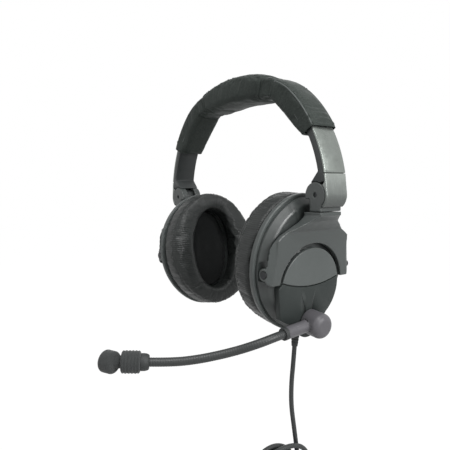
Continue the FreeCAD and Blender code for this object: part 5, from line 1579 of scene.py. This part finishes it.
    def ear_cloth(self) -> None:
        """The ear cloth over thin foam: a disc that sinks a little towards its middle, with a rolled edge."""
        rings, steps = 26, 128
        normal = np.linspace(0, 2 * np.pi, steps, endpoint=False)
        edge = oval(normal, *(size - self.cloth_gap for size in self.ear_half))
        share = np.concatenate([np.linspace(0.02, 0.985, rings - 4), [1.0, 1.0, 0.985, 0.02]])
        sag = self.cloth_sag * (1 - share ** 2) + 0.25 * np.sin(share * 9) * (share < 0.9)
        depth = self.cloth_depth + 0.15 + sag
        # The last four rings are the rolled edge and the back
        depth[-4:] = self.cloth_depth + np.array([0.5, 2.4, 2.9, 3.1])
        flat = edge[None] * share[:, None, None]
        points = self.cup.place(depth[:, None], flat[..., 0], flat[..., 1] + self.cup.middle)
        word = self.side.word
        piece = piece_from(f"{word}_ear_cloth", points.reshape(-1, 3), grid_faces(rings, steps), EAR_CLOTH,
                           f"{word}_cup")
        close_ends(piece)
        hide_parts(f"{word}_ear_scrim")


@dataclass
class Boom:
    """The boom and the microphone on it.

    Places are metres, other sizes millimetres. The ferrule and the barrel are a radius and a length each,
    and the barrel's rounding is how far its radius drops and over which length.
    """

    collar_end: tuple[float, float, float] = (0.078826, -0.030384, -0.170334)
    outward: tuple[float, float, float] = (-0.0094, -0.9962, -0.0866)
    radius: float = 3.0
    steps: tuple[tuple[float, float, float], ...] = (
        (-2.6, -16.2, -2.8), (-7.6, -23.4, -5.6), (-13.4, -29.3, -8.4), (-20.4, -39.6, -11.2),
        (-28.6, -52.8, -13.6), (-37.0, -66.4, -14.6), (-45.2, -80.0, -13.6))
    elbow_step: int = 3
    bend_reach: float = 11.0
    neck_rings: int = 330
    neck_relief: float = 0.045
    neck_pitch: float = 1.7
    ferrule: tuple[float, float] = (5.8, 5.0)
    barrel: tuple[float, float] = (7.6, 13.0)
    barrel_rounding: tuple[float, float] = (1.7, 2.0)
    ribs: int = 5
    rib_depth: float = 0.42

    def build(self) -> None:
        """Makes the hub, the gooseneck and the microphone."""
        softened("boom_hub", "boom_knob", KNOB_ABS, 0.4)
        tumbled("boom_collar", "boom_sleeve_collar", MOULDED_RUBBER, 0.2)
        end, outward = np.array(self.collar_end), np.array(self.outward)
        route = np.vstack([end - outward * 4 * MM, end, end + outward * 8 * MM,
                           end + np.array(self.steps) * MM])
        self.gooseneck(route, end + np.array(self.steps[self.elbow_step]) * MM)
        along = route[-1] - route[-2]
        self.microphone(route[-1], along / np.linalg.norm(along))

    def gooseneck(self, route: np.ndarray, elbow: np.ndarray) -> None:
        """The flexible tube: a circle along the route's spline, with the low rings of the coil inside it.

        Args:
            route: the route's points.
            elbow: where the two bodies meet; it is not used.
        """
        line = spline_line(route, 36)
        run = way_along(line)
        even = np.linspace(0, run[-1], self.neck_rings)
        line = points_at(even, run, line)
        ring = self.neck_relief * np.sin(even / (self.neck_pitch * MM) * 2 * np.pi)
        radius = (self.radius + ring) * MM
        piece = tube("gooseneck", line, radius, SHRUNK_SLEEVE, "", 28)
        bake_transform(piece)
        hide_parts("gooseneck_base", "gooseneck_end")

    def microphone(self, start: np.ndarray, along: np.ndarray) -> None:
        """The ferrule, the ribbed barrel and the capsule head.

        Args:
            start: where the ferrule starts.
            along: the boom's direction there.
        """
        radius, length = self.ferrule
        ferrule = turned("mic_collar", start, along, rounded_profile((
            (-0.6, 0, 0), (-0.6, radius - 1.4, 0.3), (0.2, radius - 0.5, 0.5), (length * 0.45, radius, 0.6),
            (length, radius, 0.4), (length, 0, 0))), MOULDED_RUBBER, "mic_arm")
        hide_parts("mic_ferrule")
        radius, length = self.barrel
        place = np.linspace(0, length, 90)
        drop, reach = self.barrel_rounding
        near_end = np.clip(1 - np.minimum(place, length - place) / reach, 0, 1)
        shoulder = drop * (1 - np.sqrt(1 - near_end ** 2))
        rib = self.rib_depth * (0.5 + 0.5 * np.cos(place / length * 2 * np.pi * (self.ribs + 1)))
        profile = [(self.ferrule[1], 0.0)]
        profile += [(self.ferrule[1] + p, radius - s - r) for p, s, r in zip(place, shoulder, rib)]
        profile += [(self.ferrule[1] + length, 0.0)]
        barrel = turned("mic_muff", start, along, profile, MUFF_FOAM, "mic_arm")
        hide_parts("mic_barrel")
        softened("mic_capsule_head", "mic_head_shell", MUFF_FOAM, 0.35)
        dress(EAR_CLOTH, "mic_element")


@dataclass(frozen=True)
class Lead:
    """One lead with its plug, in millimetres.

    Attributes:
        name: the plug's use.
        way: 1 or -1 for the side of the splitter that it leaves from.
        steps: the route from where it leaves the splitter.
        pin: the radius and the length of the plug's pin.
        rings: how far from the pin's tip each of its insulating rings lies, the upper one first.
    """

    name: str
    way: int
    steps: tuple[tuple[float, float, float], ...]
    pin: tuple[float, float]
    rings: tuple[float, ...]


@dataclass
class Cable:
    """The cable: strain relief, cord with its tied coil, splitter, two leads and two plugs.

    Sizes are millimetres. Route steps are taken from the relief's tip or from the ring's centre, as the
    solids have them. The splitter and the grip are a radius and a length each.
    """

    tip: tuple[float, float, float] = (0.062564, -0.0035, -0.18762)
    down: tuple[float, float, float] = (-0.108, 0.0, -0.99415)
    relief_length: float = 15.6
    relief_radii: tuple[float, float] = (3.8, 2.3)
    slot_pitch: float = 2.4
    slot_depth: float = 0.5
    slot_span: tuple[float, float] = (2.6, 13.2)
    radius: float = 1.75
    coil_radius: float = 20.5
    lay_radius: float = 4.95
    turns: float = 7.75
    exit_slot: float = 45.0
    points_per_turn: int = 16
    lead_radius: float = 1.4
    fall: tuple[tuple[float, float, float], ...] = (
        (-1.9, -1.8, -28.0), (-1.1, -3.2, -45.0), (-0.2, -1.4, -62.0), (0.2, 0.9, -80.0))
    coil_side: tuple[float, float, float] = (0.2, -2.6, -97.0)
    tail_start: tuple[float, float, float] = (3.8, 3.0, 23.9)
    tail: tuple[tuple[float, float, float], ...] = (
        (0.4, 12.0, 0.6), (0.4, 24.5, -5.0), (-0.5, 31.4, -17.5), (-0.6, 31.4, -31.0))
    splitter: tuple[float, float] = (6.5, 24.0)
    tie_clearance: float = 0.2
    tie_half_thickness: float = 0.55
    tie_half_width: float = 4.0
    lead_spread: float = 3.4
    leads: tuple[Lead, ...] = (
        Lead("headphone", 1, ((0, 0, 0), (0, 0, -12), (0.8, 3.8, -29), (1.4, 5.4, -48), (1.4, 5.4, -66)),
             (3.175, 30.5), (13.5, 9.0)),
        Lead("microphone", -1, ((0, 0, 0), (0, 0, -11), (-0.8, -3.8, -28), (-1.5, -5.6, -45),
                                (-1.5, -5.6, -62)), (2.615, 27.0), (13.5,)))
    grip: tuple[float, float] = (6.2, 30.0)
    plug_overlap: float = 10.0
    ring_half_width: float = 0.6
    ring_depth: float = 0.25

    def build(self) -> None:
        """Makes the cord first, then what is on it."""
        tip, down = np.array(self.tip), np.array(self.down)
        centre = tip + (np.array(self.coil_side) - np.array([0, self.coil_radius, 0])) * MM
        tail = centre + (np.array(self.tail_start) + np.array(self.tail)) * MM
        route = np.vstack([tip, tip + down * 13 * MM, tip + np.array(self.fall) * MM,
                           self.coil_points(centre), tail])
        cord = nurbs_curve("cord", route, self.radius * MM, 6)
        cord.data.materials.append(CORD_JACKET.material())
        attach(cord, "left_cup")
        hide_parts("cable", "cable_coil", "cable_tail")
        split_top = route[-1]
        splitter = self.make_splitter(split_top)
        tie = self.make_tie(centre)
        self.line_length(route)
        split_end = split_top - UP * self.splitter[1] * MM
        for lead in self.leads:
            self.make_lead(lead, split_end)
        self.make_relief(tip, down)

    def line_length(self, route: np.ndarray) -> float:
        """The length of the spline with these control points, in metres."""
        return float(way_along(spline_line(route, 12))[-1])

    def coil_points(self, centre: np.ndarray) -> np.ndarray:
        """Control points of the coil's turns.

        The cord goes round the ring while its place in the bundle's section goes round a small circle, from
        the outermost place to the exit's, so neighbouring turns lie a diameter apart.

        Args:
            centre: the ring's centre.

        Returns:
            The points in metres.
        """
        turn = np.arange(1, round(self.turns * self.points_per_turn) + 1) / self.points_per_turn
        angle = turn * 2 * np.pi
        slot_angle = -math.radians(360 - self.exit_slot) * turn / self.turns
        outset = 1 / math.cos(math.pi / self.points_per_turn)
        reach = (self.coil_radius + self.lay_radius * np.cos(slot_angle)) * outset
        x = self.lay_radius * np.sin(slot_angle)
        ring = np.stack([x, reach * np.cos(angle), -reach * np.sin(angle)], axis=1) * MM
        entry = np.array([[0, self.coil_radius + self.lay_radius, 4.0]]) * MM
        return centre + np.vstack([entry, ring])

    def make_relief(self, tip: np.ndarray, down: np.ndarray) -> None:
        """The strain relief: a cone with ring-shaped slots that let it bend."""
        place = np.linspace(0, self.relief_length, 100)
        wide, narrow = self.relief_radii
        taper = wide + (narrow - wide) * place / self.relief_length
        first, last = self.slot_span
        slotted = (np.cos(place / self.slot_pitch * 2 * np.pi) > 0.45) & (place > first) & (place < last)
        slots = self.slot_depth * slotted
        profile = [(0.0, 0.0)] + [(p, t - s) for p, t, s in zip(place, taper, slots)]
        profile += [(self.relief_length + 0.4, 1.9), (self.relief_length + 0.4, 0.0)]
        start = tip - down * self.relief_length * MM
        relief = turned("cord_relief", start, down, profile, MOULDED_RUBBER, "left_cup", 40)
        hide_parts("cable_strain_relief")

    def make_splitter(self, top: np.ndarray) -> bpy.types.Object:
        """The splitter where the cord becomes two leads: a waisted moulding with a ribbed grip."""
        radius, length = self.splitter
        profile = rounded_profile((
            (0, 0, 0), (0, 2.6, 0.4), (2.5, 3.4, 1.0), (5.5, radius - 0.4, 2.0), (9, radius, 1.0),
            (length - 4, radius, 1.5), (length, radius - 1.2, 1.0), (length, 0, 0)), 6)
        piece = turned("cord_splitter", top, -UP, profile, MOULDED_RUBBER, "left_cup", 48,
                       lambda place, angle: 0.22 * np.cos(angle * 12) * (place > 9) * (place < 19))
        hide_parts("cable_splitter")
        return piece

    def make_tie(self, centre: np.ndarray) -> bpy.types.Object:
        """The strap round the coil: a rounded flat band along a circle round the bundle."""
        steps, columns = 72, 16
        angle = np.linspace(0, 2 * np.pi, steps, endpoint=False)
        turn = np.linspace(0, 2 * np.pi, columns, endpoint=False)
        middle = self.lay_radius + self.radius + self.tie_clearance + self.tie_half_thickness
        radius = middle + self.tie_half_thickness * soft_power(np.sin(turn), 0.5)
        width = self.tie_half_width * soft_power(np.cos(turn), 0.3)
        around = np.stack([np.cos(angle), np.sin(angle)], axis=-1)
        x = around[:, None, 0] * radius[None]
        y = around[:, None, 1] * radius[None] - self.coil_radius
        points = centre + np.stack([x, y, np.broadcast_to(width, x.shape)], axis=-1) * MM
        piece = piece_from("coil_strap", points.reshape(-1, 3), grid_faces(steps, columns, True),
                           MOULDED_RUBBER, "left_cup")
        mend_normals(piece, 1e-8)
        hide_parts("cable_tie")
        return piece

    def make_lead(self, lead: Lead, split_end: np.ndarray) -> None:
        """One lead with its plug.

        Args:
            lead: the lead.
            split_end: the middle of the splitter's end.
        """
        start = split_end + np.array([0, lead.way * self.lead_spread, 0]) * MM
        route = start + np.array(lead.steps, float) * MM
        route = np.vstack([route, route[-1] - UP * self.plug_overlap * MM])
        line = nurbs_curve(f"{lead.name}_cord", route, self.lead_radius * MM, 8)
        line.data.materials.append(CORD_JACKET.material())
        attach(line, "left_cup")
        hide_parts(f"{lead.name}_lead")
        plug = self.make_plug(lead, route[-2])
        self.line_length(route)

    def make_plug(self, lead: Lead, top: np.ndarray) -> tuple[bpy.types.Object, bpy.types.Object]:
        """A plug: a ribbed moulded grip, and a turned pin with insulating rings and a ball-shaped tip.

        Args:
            lead: the plug's lead.
            top: where the lead enters the grip.

        Returns:
            The grip and the pin.
        """
        radius, length = self.grip
        profile = rounded_profile((
            (0, 0, 0), (0, 2.2, 0.4), (7, 3.0, 1.5), (9, radius - 0.5, 1.2), (12, radius, 1.0),
            (length - 1.5, radius, 1.0), (length, radius - 1.2, 0.5), (length, 0, 0)), 6)
        grip = turned(f"{lead.name}_plug_grip", top, -UP, profile, MOULDED_RUBBER, "left_cup",
                      60,
                      lambda place, angle: 0.2 * np.cos(angle * 15) * (place > 12) * (place < length - 2))
        pin_radius, pin_length = lead.pin
        tip = length + pin_length
        corners = [(length - 0.5, 0, 0), (length - 0.5, pin_radius, 0.1)]
        for ring in lead.rings:
            above, below = tip - ring - self.ring_half_width, tip - ring + self.ring_half_width
            corners += [(above, pin_radius, 0.1), (above, pin_radius - self.ring_depth, 0.05),
                        (below, pin_radius - self.ring_depth, 0.05), (below, pin_radius, 0.1)]
        corners += [(tip - 7.0, pin_radius, 0.5), (tip - 5.6, pin_radius * 0.62, 0.8),
                    (tip - 3.8, pin_radius * 0.98, 1.2), (tip - 0.4, 1.0, 0.8), (tip, 0.4, 0.2), (tip, 0, 0)]
        pin = turned(f"{lead.name}_plug_pin", top, -UP, rounded_profile(corners, 6), NICKEL_PLATE,
                     "left_cup", 48)
        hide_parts(f"{lead.name}_plug")
        return grip, pin


def main() -> None:
    """Builds the studio and every sub-assembly in order."""
    logging.basicConfig(level=logging.INFO, format="%(message)s")
    Studio().build()
    sub_assemblies = [Cable(), Headband()]
    for side in Side:
        sub_assemblies += [Arm(side), Yoke(side), EarCup(side)]
    sub_assemblies.append(Boom())
    for sub_assembly in sub_assemblies:
        sub_assembly.build()
        LOG.info("%s is built", type(sub_assembly).__name__)
    bpy.context.view_layer.update()


if __name__ == "__main__":
    main()
